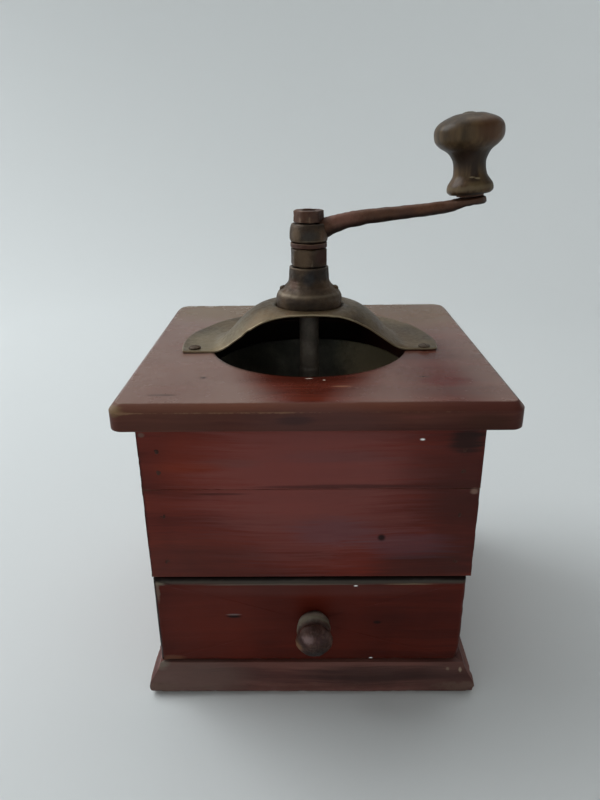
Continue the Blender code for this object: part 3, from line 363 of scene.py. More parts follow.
# The board's edges took no shellac: the same stain, dull and darker
topEdgeWoodLooks = dict(
    topWoodLooks,
    shader={"Specular IOR Level": 0.13}, dust=None,
    stops=("#41201a", "#512b23", "#62382d"),
    rough=(0.4, 0.55), bump=0.2, wearFrom=0.75, wear=0.75, bare="#84654c",
    marks=(
        (-55, -82, 154.5, 70, 8, 5.6, "#643f30", 0.85, 0.4), (0, -82, 154.5, 90, 8, 5.6, "#6b4030", 0.6, 0.4),
        (70, -82, 154.5, 40, 12, 5.6, "#4d2820", 0.7, 0.4),
        # painted highlights along the left and right upper arrises
        (-80.4, -15, 152.6, 2.6, 100, 2.6, "#b3a6a4", 0.6, 0.5),
        (84.5, -10, 152.6, 2.6, 120, 2.6, "#a3938c", 0.5, 0.5),
        (-60, -82.5, 147, 32, 20, 10, "#5d382d", 0.5, 0.3), (2, -82.5, 147, 40, 10, 10, "#5b3c38", 0.5, 0.3),
        (-6, -82.5, 147.5, 10, 10, 3, "#2b2326", 0.45, 0.8),
        (42, -82.5, 148.5, 10, 10, 1.2, "#6b3a33", 0.5, 0.9),
        (70, -82.5, 146.5, 14, 10, 5, "#3a2014", 0.5, 0.6),
        (-79.2, -81.2, 151.3, 5.6, 6, 3, "#7d6848", 0.6, 1),
    ),
)
# The base has lost its shellac and holds dust: grey-brown and dry
baseWoodLooks = dict(
    panelWoodLooks,
    shader={"Specular IOR Level": 0.2},
    shift=(0.7, 0.1, 0.2),
    stops=("#462926", "#5b3832", "#724a42"),
    warm="#602c22", deep="#321917",
    wearRagged=0.5, wearFrom=0.75, bare="#6b564b",
    rough=(0.48, 0.68), bump=0.35,
    marks=(
        (30, -77, 10, 45, 10, 6, "#231412", 0.6, 0.9), (-58, -77, 8, 36, 20, 14, "#6b564f", 0.6, 0.3),
        (-73.5, -73.5, 14.5, 6, 6, 4, "#7b7468", 0.6, 0.6), (66, -77, 8, 24, 20, 14, "#3d2824", 0.5, 0.3),
        # the white spot is a painted glint
        (72, -74.5, 11.5, 1, 3, 1.6, "#a08d78", 0.8, 0.8), (28.8, -74, 17.1, 1, 3, 1.2, "#ffffff", 1, 0.2),
        (66, -76.5, 12, 1.4, 4, 1, "#84705f", 0.9, 0.5),
    ),
)
# Bare deal inside the box: pale, dry, browned by age
innerWoodLooks = dict(
    panelWoodLooks,
    shader={},
    shift=(0.5, 0.5, 0.1),
    stops=("#5e422b", "#7b5b3e", "#957350"),
    warm="#855b36", deep="#40291a",
    wear=0.3, bare="#a38560",
    rough=(0.62, 0.8),
    marks=(),
)
# A beech knob, turned and varnished, then handled for decades: olive-brown and glossy, with painted shade in the
# neck and under the head
knobWoodLooks = dict(
    panelWoodLooks,
    shader={"Specular IOR Level": 0.12, "Coat Weight": 0.08, "Coat Roughness": 0.10},
    turn=(0, math.radians(90), 0),
    shift=(0.2, 0.0, 0.4),
    grain=((0.05, 0.005, 4.0), (0.022, 0.0011, 4.0), (0.008, 0.0005, 2.0)),
    stops=("#3b2f20", "#4c3c2a", "#5e4b33"),
    blotchScale=45.0, warm="#5a3522", deep="#231911",
    wearFrom=0.9, wear=0.5, bare="#6e6049",
    rough=(0.34, 0.52), bump=0.12,
    marks=(
        # the second mark is painted shade over the neck and the underside of the head
        (80, -12, 254, 13, 16, 9, "#5a3a26", 0.55, 0.3), (72.8, -2, 242.5, 25, 25, 8.5, "#201a17", 0.8, 0.2),
        # the first mark is painted shade down the front of the neck; the second is a pale worn patch
        (74.5, -11, 235, 3.5, 6, 7, "#170e12", 0.7, 0.4), (75, -14, 230.6, 6.2, 8, 2.6, "#68573c", 0.5, 0.5),
        (73.2, -11, 233.8, 1.8, 6, 0.5, "#83745a", 0.8, 0.8),
        (75.8, -11, 233.4, 1.8, 6, 0.6, "#8f8064", 0.8, 0.8),
        # painted shade under the lower bead
        (75, -12, 226.5, 12, 14, 1.4, "#16100c", 0.8, 0.3),
    ),
)
drawerKnobWoodLooks = dict(
    knobWoodLooks,
    shader={"Specular IOR Level": 0.1, "Coat Weight": 0.1, "Coat Roughness": 0.15},
    turn=(0, 0, math.radians(90)),
    stops=("#2e1d19", "#46302a", "#5e473f"),
    warm="#462c22", deep="#18120f",
    wearFrom=0.70, wear=0.7, bare="#7b7462",
    rough=(0.42, 0.62), bump=0.45,
    marks=(
        # painted light over the top of the rear bead, and painted shade on its right
        (1.2, -78.5, 43, 14, 4.5, 12, "#978d7f", 0.85, 0.3), (8.5, -80, 44, 5, 6, 6, "#3a211a", 0.7, 0.5),
        # a purple-brown top to the front bead, and painted shade over its lower half
        (1.2, -88, 43, 7.5, 5, 3.5, "#54393a", 0.6, 0.5), (1.8, -89, 34.5, 7.5, 7, 6, "#1f1b1b", 0.9, 0.3),
        # two painted glints on the rear bead
        (-6.2, -79, 45.2, 0.9, 3, 0.8, "#efe8e6", 0.95, 0.2),
        (-4.6, -78.5, 46.4, 0.7, 3, 0.6, "#e0d4cf", 0.9, 0.2),
        # a painted highlight at the front bead's upper left, and painted light down its left edge
        (-1.4, -89, 44, 3.4, 5, 2.4, "#8f7977", 0.6, 0.8),
        (-6.2, -87, 38.5, 3.4, 7, 3.8, "#7c5c42", 0.8, 0.8),
    ),
)

# Cold-rolled sheet steel, long browned: an olive-brown oxide skin with a soft, broad sheen
plateSteelLooks = {
    "shader": {"Metallic": 0.7},
    "shift": (0.0, 0.0, 0.0),
    "broadScale": 38.0, "fineScale": 420.0, "pitScale": 900.0,
    "stops": ("#413220", "#57472f", "#6c5a41"),
    "rustShare": 0.35, "rust": 0.6, "rustColor": "#56371f", "rustTone": 0.62, "rustReach": 0.3, "rustSpan": 0.18,
    "pits": 0.5, "pitColor": "#1d1812", "pitSize": (0.30, 0.08), "pitDepth": -0.7, "tone": (0.32, 0.68),
    "wearRagged": 0.5, "wearFrom": 0.75, "wear": 0.85, "bare": "#a3957a",
    "rough": (0.38, 0.58), "rubbedRough": -0.15, "bump": 0.22, "relief": 0.0004,
    "marks": (
        (-38, -6, 164, 12, 30, 12, "#665e49", 0.5, 0.7), (-47, 8, 157.5, 11, 14, 6, "#3d2c1b", 0.65, 0.8),
        (40, 12, 158, 14, 10, 8, "#3f301f", 0.5, 0.8), (40, 0, 160, 24, 34, 20, "#5d4527", 0.55, 0.5),
        (-28, 20, 170, 24, 50, 10, "#43382a", 0.55, 0.3), (-50, -5, 155, 16, 34, 6, "#94866c", 0.45, 0.5),
        # the last mark is a painted highlight beside the right screw
        (33, -6, 166, 5, 14, 8, "#45301d", 0.5, 0.8), (56.5, -11.7, 155.6, 4.5, 4.5, 2, "#8d8062", 0.6, 0.3),
    ),
}
# Grey cast iron with a dry dark brown skin, sand-cast so the surface is finely pebbled
castIronLooks = dict(
    plateSteelLooks,
    shader={"Metallic": 0.55},
    shift=(0.3, 0.2, 0.1),
    stops=("#2d2118", "#423324", "#574532"),
    rustShare=0.45, rust=0.55, rustColor="#4d301f",
    pits=0.6, pitColor="#120e0b",
    wear=0.6, bare="#6e6150",
    rough=(0.46, 0.68), bump=0.5,
    marks=(
        (0, -2, 190.5, 20, 20, 4.5, "#211d1c", 0.6, 0.5), (0, -10, 189, 4, 10, 5, "#23262a", 0.6, 0.8),
        # the first mark is a painted highlight on the right of the flare; the second is rust
        (10, -2, 184.5, 12, 20, 4.5, "#5d452c", 0.6, 0.8), (-7.5, -9, 186, 2.8, 10, 3.6, "#4f2f20", 0.4, 0.9),
        (0, -2, 181, 20, 20, 2.8, "#7b684f", 0.6, 0.6), (0, -2, 177.5, 20, 20, 2, "#3d352e", 0.5, 0.6),
        (0, -2, 174, 20, 20, 1.6, "#2e2824", 0.5, 0.4), (0, -10, 208, 6, 10, 4, "#3d3c3a", 0.5, 0.6),
        (-6, -8, 208.5, 3, 10, 5, "#76624e", 0.5, 0.6), (7, -8, 208.5, 2.4, 10, 5, "#6d5341", 0.5, 0.6),
        # a painted lit left facet and a painted shaded right facet on the adjusting nut
        (-3, -10, 198.5, 6, 10, 11, "#77614a", 0.35, 0.9), (6.5, -9, 198.5, 5.2, 10, 6, "#371a10", 0.85, 0.3),
    ),
)
# Wrought bar under an even, fine brown rust: matt and warm
rustySteelLooks = dict(
    plateSteelLooks,
    shader={"Metallic": 0.4},
    shift=(0.5, 0.1, 0.6),
    stops=("#3a2418", "#523522", "#6a462e"),
    rustShare=0.8, rust=0.5, rustColor="#57321f",
    pits=0.4, pitColor="#17100d",
    wear=0.5, bare="#66513f",
    rough=(0.46, 0.68), bump=0.3,
    marks=(
        (0, -2, 203.7, 20, 20, 1.8, "#3d211a", 0.75, 0.6), (17, -2, 215, 12, 10, 6, "#84584a", 0.5, 0.7),
        (45, -2, 218, 8, 10, 4, "#432a22", 0.5, 0.9),
    ),
)
# The nut on top: the same rust, darker, with its rims rubbed pale
topNutSteelLooks = dict(
    rustySteelLooks,
    shader={"Metallic": 0.3},
    stops=("#2f1d15", "#48301f", "#63462f"),
    rustShare=0.9, rustColor="#57311f", wear=0.8, bare="#97826a",
    marks=(
        (-4.2, -8, 215.4, 0.7, 4, 1.8, "#8f7458", 0.3, 1.4),
        # the last mark is painted shade on the nut's right side
        (0.4, -8.5, 215.4, 0.6, 4, 2, "#8f7458", 0.3, 1.4), (5.5, -6, 217, 3, 6, 4, "#2a1a15", 0.6, 0.6),
    ),
)
pinSteelLooks = dict(
    rustySteelLooks,
    stops=("#2c2518", "#3f3624", "#554a34"), rustShare=0.2, marks=(),
)
spindleSteelLooks = dict(
    rustySteelLooks,
    shift=(0.9, 0.4, 0.2),
    stops=("#46403a", "#5f574e", "#776d62"),
    rustShare=0.3, rustColor="#5e4433", marks=(),
)
burrSteelLooks = dict(
    castIronLooks,
    shader={"Metallic": 0.7},
    stops=("#3f3c39", "#5a5651", "#767169"),
    rustShare=0.2, rust=0.4, marks=(),
)
# Tinned sheet gone dull grey-green, with a film of coffee oil
hopperSteelLooks = dict(
    plateSteelLooks,
    shader={"Metallic": 0.5},
    shift=(0.2, 0.9, 0.4),
    stops=("#3d3b33", "#56544a", "#706e61"),
    rustShare=0.3, rust=0.5, rustColor="#5b4630",
    # a pale patch of painted light on the bowl's right inner wall
    marks=((40, 15, 138, 32, 60, 30, "#d8c8a4", 0.75, 0.4),),
)
nailSteelLooks = dict(
    castIronLooks, shader={"Metallic": 0.1, "Specular IOR Level": 0.2}, shift=(0.1, 0.6, 0.3),
    stops=("#33190f", "#41241c", "#523227"), rustShare=0.2, wear=0.3, marks=(),
)

quarterTurn = (0, 0, math.radians(90))
panelWood = woodFinish("mahoganyStainedPanel", panelWoodLooks)
sideWood = woodFinish("mahoganyStainedSide", dict(panelWoodLooks, turn=quarterTurn, marks=()))
drawerWood = woodFinish("mahoganyStainedDrawer", drawerWoodLooks)
topWood = woodFinish("mahoganyStainedTop", topWoodLooks)
topEdgeWood = woodFinish("mahoganyStainedEdge", topEdgeWoodLooks)
baseWood = woodFinish("wornBaseWood", baseWoodLooks)
baseSideWood = woodFinish("wornBaseSideWood", dict(baseWoodLooks, turn=quarterTurn, marks=()))
innerWood = woodFinish("bareBoxWood", innerWoodLooks)
innerSideWood = woodFinish("bareBoxSideWood", dict(innerWoodLooks, turn=quarterTurn))
knobWood = woodFinish("turnedKnobWood", knobWoodLooks)
drawerKnobWood = woodFinish("weatheredKnobWood", drawerKnobWoodLooks)
plateSteel = metalFinish("brownedSheetSteel", plateSteelLooks)
castIron = metalFinish("sandCastIron", castIronLooks)
rustySteel = metalFinish("rustedWroughtBar", rustySteelLooks)
topNutSteel = metalFinish("rustedTopNut", topNutSteelLooks)
pinSteel = metalFinish("dulledKnobPin", pinSteelLooks)
spindleSteel = metalFinish("rustedSpindle", spindleSteelLooks)
burrSteel = metalFinish("hardenedBurrSteel", burrSteelLooks)
hopperSteel = metalFinish("dullHopperSheet", hopperSteelLooks)
nailSteel = metalFinish("brownedNail", nailSteelLooks)
print("materials made")


# Surfaces

def ripple(points, size, seed, octaves=3):
    # The sum of sine waves in random directions: each octave is half as long and half as high. About -1 to 1.
    random = np.random.default_rng(seed)
    total = np.zeros(points.shape[:-1])
    for octave in range(octaves):
        for wave in range(7):
            direction = random.normal(size=3)
            direction /= np.linalg.norm(direction)
            turns = points @ direction * 2 ** octave / size
            total += np.sin(2 * math.pi * (turns + random.random())) / 2 ** octave
    return total / 3.2


def softStep(value, low, high):
    share = np.clip((value - low) / (high - low), 0, 1)
    return share * share * (3 - 2 * share)


def gridQuads(rows, columns, wrapRows=False):
    # The four corners of each cell. The columns close on themselves.
    row = np.arange(rows if wrapRows else rows - 1)[:, None] * columns
    nextRow = (row + columns) % (rows * columns)
    column = np.arange(columns)[None, :]
    nextColumn = (column + 1) % columns
    corners = (row + column, row + nextColumn, nextRow + nextColumn, nextRow + column)
    return np.stack(corners, -1).reshape(-1, 4)


def skin(name, grid, material, body, node, wrapRows=False, sharp=40, hollow=None, patch=None, **shares):
    # Joins a grid of rows and closed columns by quads. The rows join up too, or both ends close on their middles.
    # The shares are wear, dirt with painted shade, and haze with painted sheen: how far a point is rubbed,
    # darkened and hazed. hollow presses points in.
    rows, columns = grid.shape[:2]
    points = grid.reshape(-1, 3)
    quads = gridQuads(rows, columns, wrapRows)
    triangles = np.vstack([quads[:, [0, 1, 2]], quads[:, [0, 2, 3]]])
    faces = quads.tolist()
    if not wrapRows:
        points = np.vstack([points, grid[0].mean(0), grid[-1].mean(0)])
        ring = np.arange(columns)
        lastRing = ring + (rows - 1) * columns
        middle = np.full(columns, rows * columns)
        caps = np.vstack([
            np.stack([middle, np.roll(ring, -1), ring], -1),
            np.stack([middle + 1, lastRing, np.roll(lastRing, -1)], -1),
        ])
        triangles = np.vstack([triangles, caps])
        faces += caps.tolist()
    a, b, c = (points[triangles[:, i]] for i in range(3))
    if np.einsum("ij,ij->i", a, np.cross(b, c)).sum() < 0:  # the faces point inwards
        faces = [face[::-1] for face in faces]
    mesh = bpy.data.meshes.new(name)
    mesh.from_pydata(points, [], faces)
    if hollow:
        normals = np.zeros(len(points) * 3, np.float32)
        mesh.vertex_normals.foreach_get("vector", normals)
        points = points - normals.reshape(-1, 3) * np.maximum(hollow(points), 0)[:, None]
        mesh.vertices.foreach_set("co", points.astype(np.float32).ravel())
    for layer, share in shares.items():
        if share:
            values = mesh.attributes.new(layer, "FLOAT", "POINT")
            values.data.foreach_set("value", np.clip(share(points), 0, 1).astype(np.float32))
    mesh.update()
    mesh.shade_smooth()
    mesh.set_sharp_from_angle(angle=math.radians(sharp))
    mesh.materials.append(material)
    if patch:  # a second material on the faces whose middles it chooses
        second, chosen = patch
        mesh.materials.append(second)
        middles = np.zeros(len(mesh.polygons) * 3, np.float32)
        mesh.polygons.foreach_get("center", middles)
        mesh.polygons.foreach_set("material_index", chosen(middles.reshape(-1, 3)).astype(np.int32))
    made = newObject(name, mesh)
    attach(made, body)
    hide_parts(node)


def outlineParts(halfWide, halfDeep, corner, spacing, arcSteps=8):
    # A rounded rectangle as a core rectangle and, at each of its points, the outward direction.
    # The outline itself is the core plus the direction times the corner's radius.
    wide, deep = halfWide - corner, halfDeep - corner
    turns = ((wide, deep, 0), (-wide, deep, 90), (-wide, -deep, 180), (wide, -deep, 270))
    core, direction = [], []
    for index, (x, y, start) in enumerate(turns):
        angles = np.radians(start + np.linspace(0, 90, arcSteps + 1))
        core.append(np.tile((x, y), (arcSteps + 1, 1)))
        direction.append(np.stack([np.cos(angles), np.sin(angles)], -1))
        far = np.array(turns[(index + 1) % 4][:2])
        count = max(2, int(np.abs(far - (x, y)).sum() / spacing))
        share = np.linspace(0, 1, count + 1)[1:-1, None]
        core.append(np.array((x, y)) * (1 - share) + far * share)
        direction.append(np.tile(direction[-1][-1], (count - 1, 1)))
    return np.vstack(core), np.vstack(direction)


# The rings of a flat face, from its edge in to its middle
faceShares = 1 - np.array([0.0, 0.006, 0.015, 0.03, 0.05, 0.08, 0.12, 0.18, 0.26, 0.36, 0.48, 0.62, 0.78, 0.95])


def edgeProfile(thickness, lowerRound, upperRound, lowerSteps=5, sideSteps=5, upperSteps=5, power=1):
    # Height and inset up a board's edge: round the lower arris, up the side and round the upper arris
    quarters = (np.linspace(0, math.pi / 2, steps + 1) for steps in (lowerSteps, upperSteps))
    (lowSin, lowCos), (highSin, highCos) = ((np.sin(quarter), np.cos(quarter)) for quarter in quarters)
    lower = np.stack([lowerRound * (1 - lowCos), lowerRound * (1 - lowSin)], -1)
    side = [(height, 0) for height in np.linspace(lowerRound, thickness - upperRound, sideSteps + 1)[1:-1]]
    upper = np.stack([thickness - upperRound * (1 - highSin ** power), upperRound * (1 - highCos ** power)], -1)
    return np.vstack([lower, side, upper])


def faceLevels(profile):
    # Height, inset and shrink of each outline: up the profile, with the rings of a flat face below and above
    levels = [(*profile[0], share) for share in faceShares[:0:-1]]
    levels += [(*point, 1) for point in profile]
    return np.array(levels + [(*profile[-1], share) for share in faceShares[1:]])


def carried(core, direction, corner, levels):
    # The outline at each level, inset and then shrunk towards its middle
    outline = core[None] + direction[None] * (corner - levels[:, 1])[:, None, None]
    return outline * levels[:, 2][:, None, None]


def boxWear(low, high, width):
    # A point's wear falls off with its distance from the second nearest face of the box: its nearest arris
    def wear(points):
        gaps = np.sort(np.minimum(np.abs(points - low), np.abs(points - high)), -1)
        return np.exp(-gaps[:, 1] / width) * (0.8 + 0.4 * np.exp(-gaps[:, 2] / (3 * width)))
    return wear


def knocked(wear, depth, seed, size=0.009):
    # Presses in the arrises here and there, and the faces a little
    def hollow(points):
        knocks = softStep(ripple(points, size, seed), 0.25, 0.9)
        return depth * (wear(points) * knocks + 0.08 * (1 + ripple(points, 6 * size, seed + 1, 2)))
    return hollow


def boardPiece(name, node, material, body, looks):
    # A stack of rounded rectangles along the board's thinnest way
    low, high = np.array(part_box(node))
    low, high = low - looks["grow"][0], high + looks["grow"][1]
    size = high - low
    thin = int(np.argmin(size))
    wide = [axis for axis in range(3) if axis != thin]
    core, direction = outlineParts(*size[wide] / 2, looks["corner"], looks["spacing"])
    levels = faceLevels(edgeProfile(size[thin], looks["lowRound"], looks["highRound"]))
    grid = np.zeros((len(levels), len(core), 3))
    grid[..., wide] = carried(core, direction, looks["corner"], levels) + ((low + high) / 2)[wide]
    grid[..., thin] = low[thin] + levels[:, 0][:, None]
    if "wornCorner" in looks:  # the lower right corner is rubbed to a wider arc
        corner = np.array((high[0] - looks["wornCorner"], low[2] + looks["wornCorner"]))
        offset = (grid[..., [0, 2]] - corner) * (1, -1)
        inside = (offset > 0).all(-1)
        reach = np.maximum(np.linalg.norm(offset, axis=-1), 1e-6)
        offset *= np.where(inside, offset.max(-1) / reach, 1)[..., None]
        grid[..., [0, 2]] = corner + offset * (1, -1)
    wear = boxWear(low, high, looks["wearWidth"])
    hollow = knocked(wear, looks["knock"], looks["seed"])

    def grime(points):
        # painted shade in the gap above the drawer and down its left edge, darkest at the front
        left, top = looks["darkLeft"], looks["darkTop"]
        left = softStep(points[:, 0] - low[0], left + 0.0002, left - 0.0002)
        top = softStep(points[:, 2] - high[2], -top - 0.0003, -top + 0.0002)
        inFront = softStep(points[:, 1] - low[1], *looks["darkDepth"])
        return np.maximum(left, top) * (looks["dark"] + looks["darkInFront"] * inFront)
    skin(name, grid, material, body, node, wear=wear, hollow=hollow, grime="darkTop" in looks and grime)


boardLooks = {
    "corner": 0.0004, "lowRound": 0.0004, "highRound": 0.0004, "spacing": 0.0018,
    "wearWidth": 0.0010, "knock": 0.00022, "grow": ((0, 0, 0), (0, 0, 0)),
}
jointFill = 0.00013  # each plank reaches this much further into the joint
plankLooks = {"corner": 0.0002, "lowRound": 0.00015}
boards = {
    # node: material, body, seed, own looks
    "front_plank_upper": (panelWood, "box", 11, {**plankLooks, "grow": ((0, 0, jointFill), (0, 0, 0))}),
    "front_plank_lower": (panelWood, "box", 12, {**plankLooks, "grow": ((0, 0, 0), (0, 0, jointFill))}),
    "side_panel_left": (sideWood, "box", 13, {}),
    "side_panel_right": (sideWood, "box", 14, {}),
    "back_panel": (panelWood, "box", 15, {}),
    "drawer_front": (drawerWood, "drawer", 16, {
        "corner": 0.0008, "lowRound": 0.0022, "highRound": 0.0006, "wearWidth": 0.0020, "knock": 0.0005,
        "grow": ((0.0005, 0, 0), (-0.0011, 0, 0)), "wornCorner": 0.0060, "darkLeft": 0.0014, "darkTop": 0.0011,
        "dark": 0.45, "darkInFront": 0.47, "darkDepth": (0.0065, 0.0025),
    }),
    "drawer_side_left": (innerSideWood, "drawer", 17, {}),
    "drawer_side_right": (innerSideWood, "drawer", 18, {}),
    "drawer_back": (innerWood, "drawer", 19, {}),
    "drawer_bottom": (innerWood, "drawer", 20, {}),
}
for node, (material, body, seed, own) in boards.items():
    boardPiece(node + "_board", node, material, body, {**boardLooks, "seed": seed, **own})
print("boards made")

plinthLooks = {
    "shares": (  # height and projection, up the lip and the cove
        (0.0, 0.55), (0.04, 0.78), (0.12, 0.93), (0.24, 1.0), (0.36, 0.995), (0.46, 0.92), (0.54, 0.78),
        (0.62, 0.58), (0.72, 0.39), (0.85, 0.22), (1.0, 0.09),
    ),
    "projection": 0.006, "corner": 0.0065, "spacing": 0.0018, "rows": 40,
    "mitre": 0.75,  # 1 gives sharp corners, 0 round ones
    "wearWidth": 0.0022, "knock": 0.0006, "seed": 31,
    # the lip's wear: everywhere, how uneven, more at the corners, and where along the side those start
    "lipWear": 0.55, "uneven": 0.1, "cornerWear": 0.3, "cornerFrom": (0.055, 0.074),
}


def raised(flat, heights):
    # Each row of plane points at its own height
    return np.concatenate([flat, np.broadcast_to(heights[:, None, None], (*flat.shape[:2], 1))], -1)


def plinthPiece(looks):
    # A square outline carried up a moulded profile, closed by flat faces below and above
    low, high = np.array(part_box("base_plinth"))
    size = high - low
    heights, outs = np.array(looks["shares"]).T
    share = np.linspace(0, 1, looks["rows"])
    out = np.interp(share, heights, outs)
    out[1:-1] = (out[:-2] + 2 * out[1:-1] + out[2:]) / 4
    levels = faceLevels(np.stack([share * size[2], looks["projection"] * (1 - out)], -1))
    core, direction = outlineParts(size[0] / 2, size[1] / 2, looks["corner"], looks["spacing"])
    # each direction runs on towards the square's own edge, so the corner is nearly mitred
    stretch = 1 / np.abs(direction).max(1, keepdims=True)
    direction = direction * (1 + (stretch - 1) * looks["mitre"])
    grid = raised(carried(core, direction, looks["corner"], levels), levels[:, 0])
    grid += (low + high) / 2 * (1, 1, 0) + low * (0, 0, 1)

    def wear(points):
        # the lip is rubbed, most of all at its corners
        edge = np.abs(points[:, :2] - grid[..., :2].mean((0, 1))).max(1)
        onLip = softStep(edge, size[0] / 2 - looks["wearWidth"], size[0] / 2 - 0.0002)
        corner = softStep(np.abs(points[:, :2]).min(1), *looks["cornerFrom"])
        uneven = looks["uneven"] * ripple(points, 0.03, looks["seed"] + 3)
        return onLip * (looks["lipWear"] + uneven + looks["cornerWear"] * corner)
    hollow = knocked(wear, looks["knock"], looks["seed"], 0.007)

    def isSide(points):
        # the two side mouldings, out to their mitres, have their grain from front to back
        return (np.abs(points[:, 0]) > np.abs(points[:, 1])) & (points[:, 2] > low[2] + 0.0001)
    skin("base_moulding", grid, baseWood, "box", "base_plinth", wear=wear, hollow=hollow,
         patch=(baseSideWood, isSide))


plinthPiece(plinthLooks)

topBoardLooks = {
    "corner": 0.0055, "backCorner": 0.0085, "upperRound": 0.0032, "lowerRound": 0.0006, "holeRound": 0.0004,
    "skew": ((0.0004, 0.0002), (0, -0.0004)),  # how far the left and right sides stand off, in front and behind
    "chamferPower": 1.6,  # 1 gives the upper edge a round, 2 a flat chamfer
    "spacing": 0.0016, "faceRows": 34, "holeRadius": 0.0482, "wearWidth": 0.0005, "knock": 0.0002, "seed": 41,
    "cornerWear": (0.014, 0.006),  # from the front left corner, where its wear starts and where it is full
    "kept": (-0.03, 0.05),  # along x, where the arrises begin to be less worn and where they are least worn
    "boreLit": (0.026, 0.044),  # along x, where painted light on the bore's right side starts and where it is full
    "boreDepth": (0.0012, 0.0003), "edgeDrop": (0.0026, 0.0046),
    # the strip kept clear of haze and painted sheen, left dark as a painted dark reflection of the hub: its
    # middle, half its width at the board's edge and at its end, and that end
    "clearAt": -0.002, "clearWidths": (0.014, 0.024), "clearEnd": -0.054, "clearSoft": 0.012,
    # the haze and painted sheen along x: at, its share in front of the hole, its share behind
    "haze": (
        (-0.082, 0.90, 0.85), (-0.060, 0.76, 0.85), (-0.045, 0.86, 0.80), (-0.020, 0.85, 0.75),
        (0.020, 0.45, 0.60), (0.036, 0.56, 0.50), (0.048, 0.26, 0.45), (0.058, 0.08, 0.40),
        (0.066, 0.30, 0.45), (0.078, 0.70, 0.60), (0.086, 0.85, 0.75),
    ),
}


def topBoardPiece(looks):
    # A closed ring of profiles: out along the underside, round the edge, in over the top face and down the hole
    low, high = np.array(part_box("top_board"))
    size = high - low
    middle = ((low + high) / 2)[:2]
    core, direction = outlineParts(*size[:2] / 2, looks["corner"], looks["spacing"])
    core = core + middle
    upper, rim = looks["upperRound"], looks["holeRound"]
    steps = {"lowerSteps": 6, "sideSteps": 7, "upperSteps": 12, "power": looks["chamferPower"]}
    heights, insets = edgeProfile(size[2], looks["lowerRound"], upper, **steps).T
    edge = core[None] + direction[None] * (looks["corner"] - insets)[:, None, None]
    # the back corners are pulled in to a wider arc
    beyond = np.abs(edge - middle) - (size[:2] / 2 - looks["backCorner"])
    beyond = np.where(edge[..., 1:] > middle[1], np.maximum(beyond, 0), 0)
    reach = np.maximum(np.linalg.norm(beyond, axis=-1), 1e-9)
    pull = np.maximum(1 - (looks["backCorner"] - insets)[:, None] / reach, 0) * (beyond.min(-1) > 0)
    edge = raised(edge - np.sign(edge - middle) * beyond * pull[..., None], heights)

    def skewed(points):
        # how far the board stands off the square here
        across, along = ((points[..., i] - low[i]) / size[i] for i in (0, 1))
        front, back = (left + (right - left) * across for left, right in looks["skew"])
        return front + (back - front) * along
    edge[..., 0] += skewed(edge)
    bearing = core + direction * looks["corner"] - mill[:2]
    bearing /= np.linalg.norm(bearing, axis=1, keepdims=True)
    heights, insets = edgeProfile(size[2], rim, rim, lowerSteps=6, sideSteps=7, upperSteps=6)[::-1].T
    hole = raised(mill[:2] + bearing[None] * (looks["holeRadius"] + insets)[:, None, None], heights)
    share = np.linspace(0, 1, looks["faceRows"])[1:-1, None, None] ** 1.3
    top = edge[-1][None] * (1 - share) + hole[0][None] * share
    under = hole[-1][None] * (1 - share) + edge[0][None] * share
    grid = np.concatenate([edge, top, hole, under])
    grid[..., 2] += low[2]

    def wear(points):
        # the two arrises of the chamfer, most at the left, and the front left corner
        points = points - skewed(points)[:, None] * (1, 0, 0)
        side = np.minimum(np.abs(points - low), np.abs(points - high))[:, :2].min(1)
        drop = high[2] - points[:, 2]
        arris = np.minimum(np.hypot(side, drop - upper), np.hypot(side - upper, drop))
        corner = np.linalg.norm(points[:, :2] - low[:2], axis=1)
        uneven = 0.72 + 0.22 * ripple(points, 0.05, looks["seed"] + 5)
        uneven *= 1 - 0.5 * softStep(points[:, 0], *looks["kept"])
        return np.exp(-arris / looks["wearWidth"]) * (uneven + 0.5 * softStep(corner, *looks["cornerWear"]))

    def dust(points):
        # bloomed shellac haze with painted sheen of the wall: full on the left and at the back, patchy on the
        # right, none in the strip in front of the hole, left dark as a painted dark reflection of the hub
        stand, front, back = np.array(looks["haze"]).T
        x, y = points[:, :2].T
        amount = np.interp(x, stand, front)
        amount += (np.interp(x, stand, back) - amount) * softStep(y, -0.02, 0.03)
        width, soft = np.interp(y, (low[1], looks["clearEnd"]), looks["clearWidths"]), looks["clearSoft"]
        clear = softStep(np.abs(x - looks["clearAt"]), width - soft, width + soft)
        clear = np.maximum(clear, softStep(y, -0.035, -0.015))
        return amount * clear * (0.92 + 0.08 * ripple(points, 0.04, looks["seed"] + 9))

    def grime(points):
        # the bore of the hole is black with oil and painted shade, darkest deep down and lighter on its right,
        # where painted light falls; the edge below its rounding is darker than the top
        depth = np.linalg.norm(points[:, :2] - mill[:2], axis=1) - looks["holeRadius"]
        inHole = softStep(depth, *looks["boreDepth"]) * (1 - 0.7 * softStep(points[:, 0], *looks["boreLit"]))
        below = softStep(high[2] - points[:, 2], *looks["edgeDrop"])
        return np.maximum(inHole * (0.6 + 0.4 * softStep(points[:, 2], high[2], high[2] - 0.001)), 0.1 * below)

    def isEdge(points):
        return (points[:, 2] < high[2] - upper * 0.06) & (points[:, 2] > low[2] - 0.001)
    hollow = knocked(wear, looks["knock"], looks["seed"])
    skin("top_board_worn", grid, topWood, "box", "top_board", wrapRows=True, wear=wear, hollow=hollow,
         grime=grime, dust=dust, patch=(topEdgeWood, isEdge))


topBoardPiece(topBoardLooks)
print("base and top made")


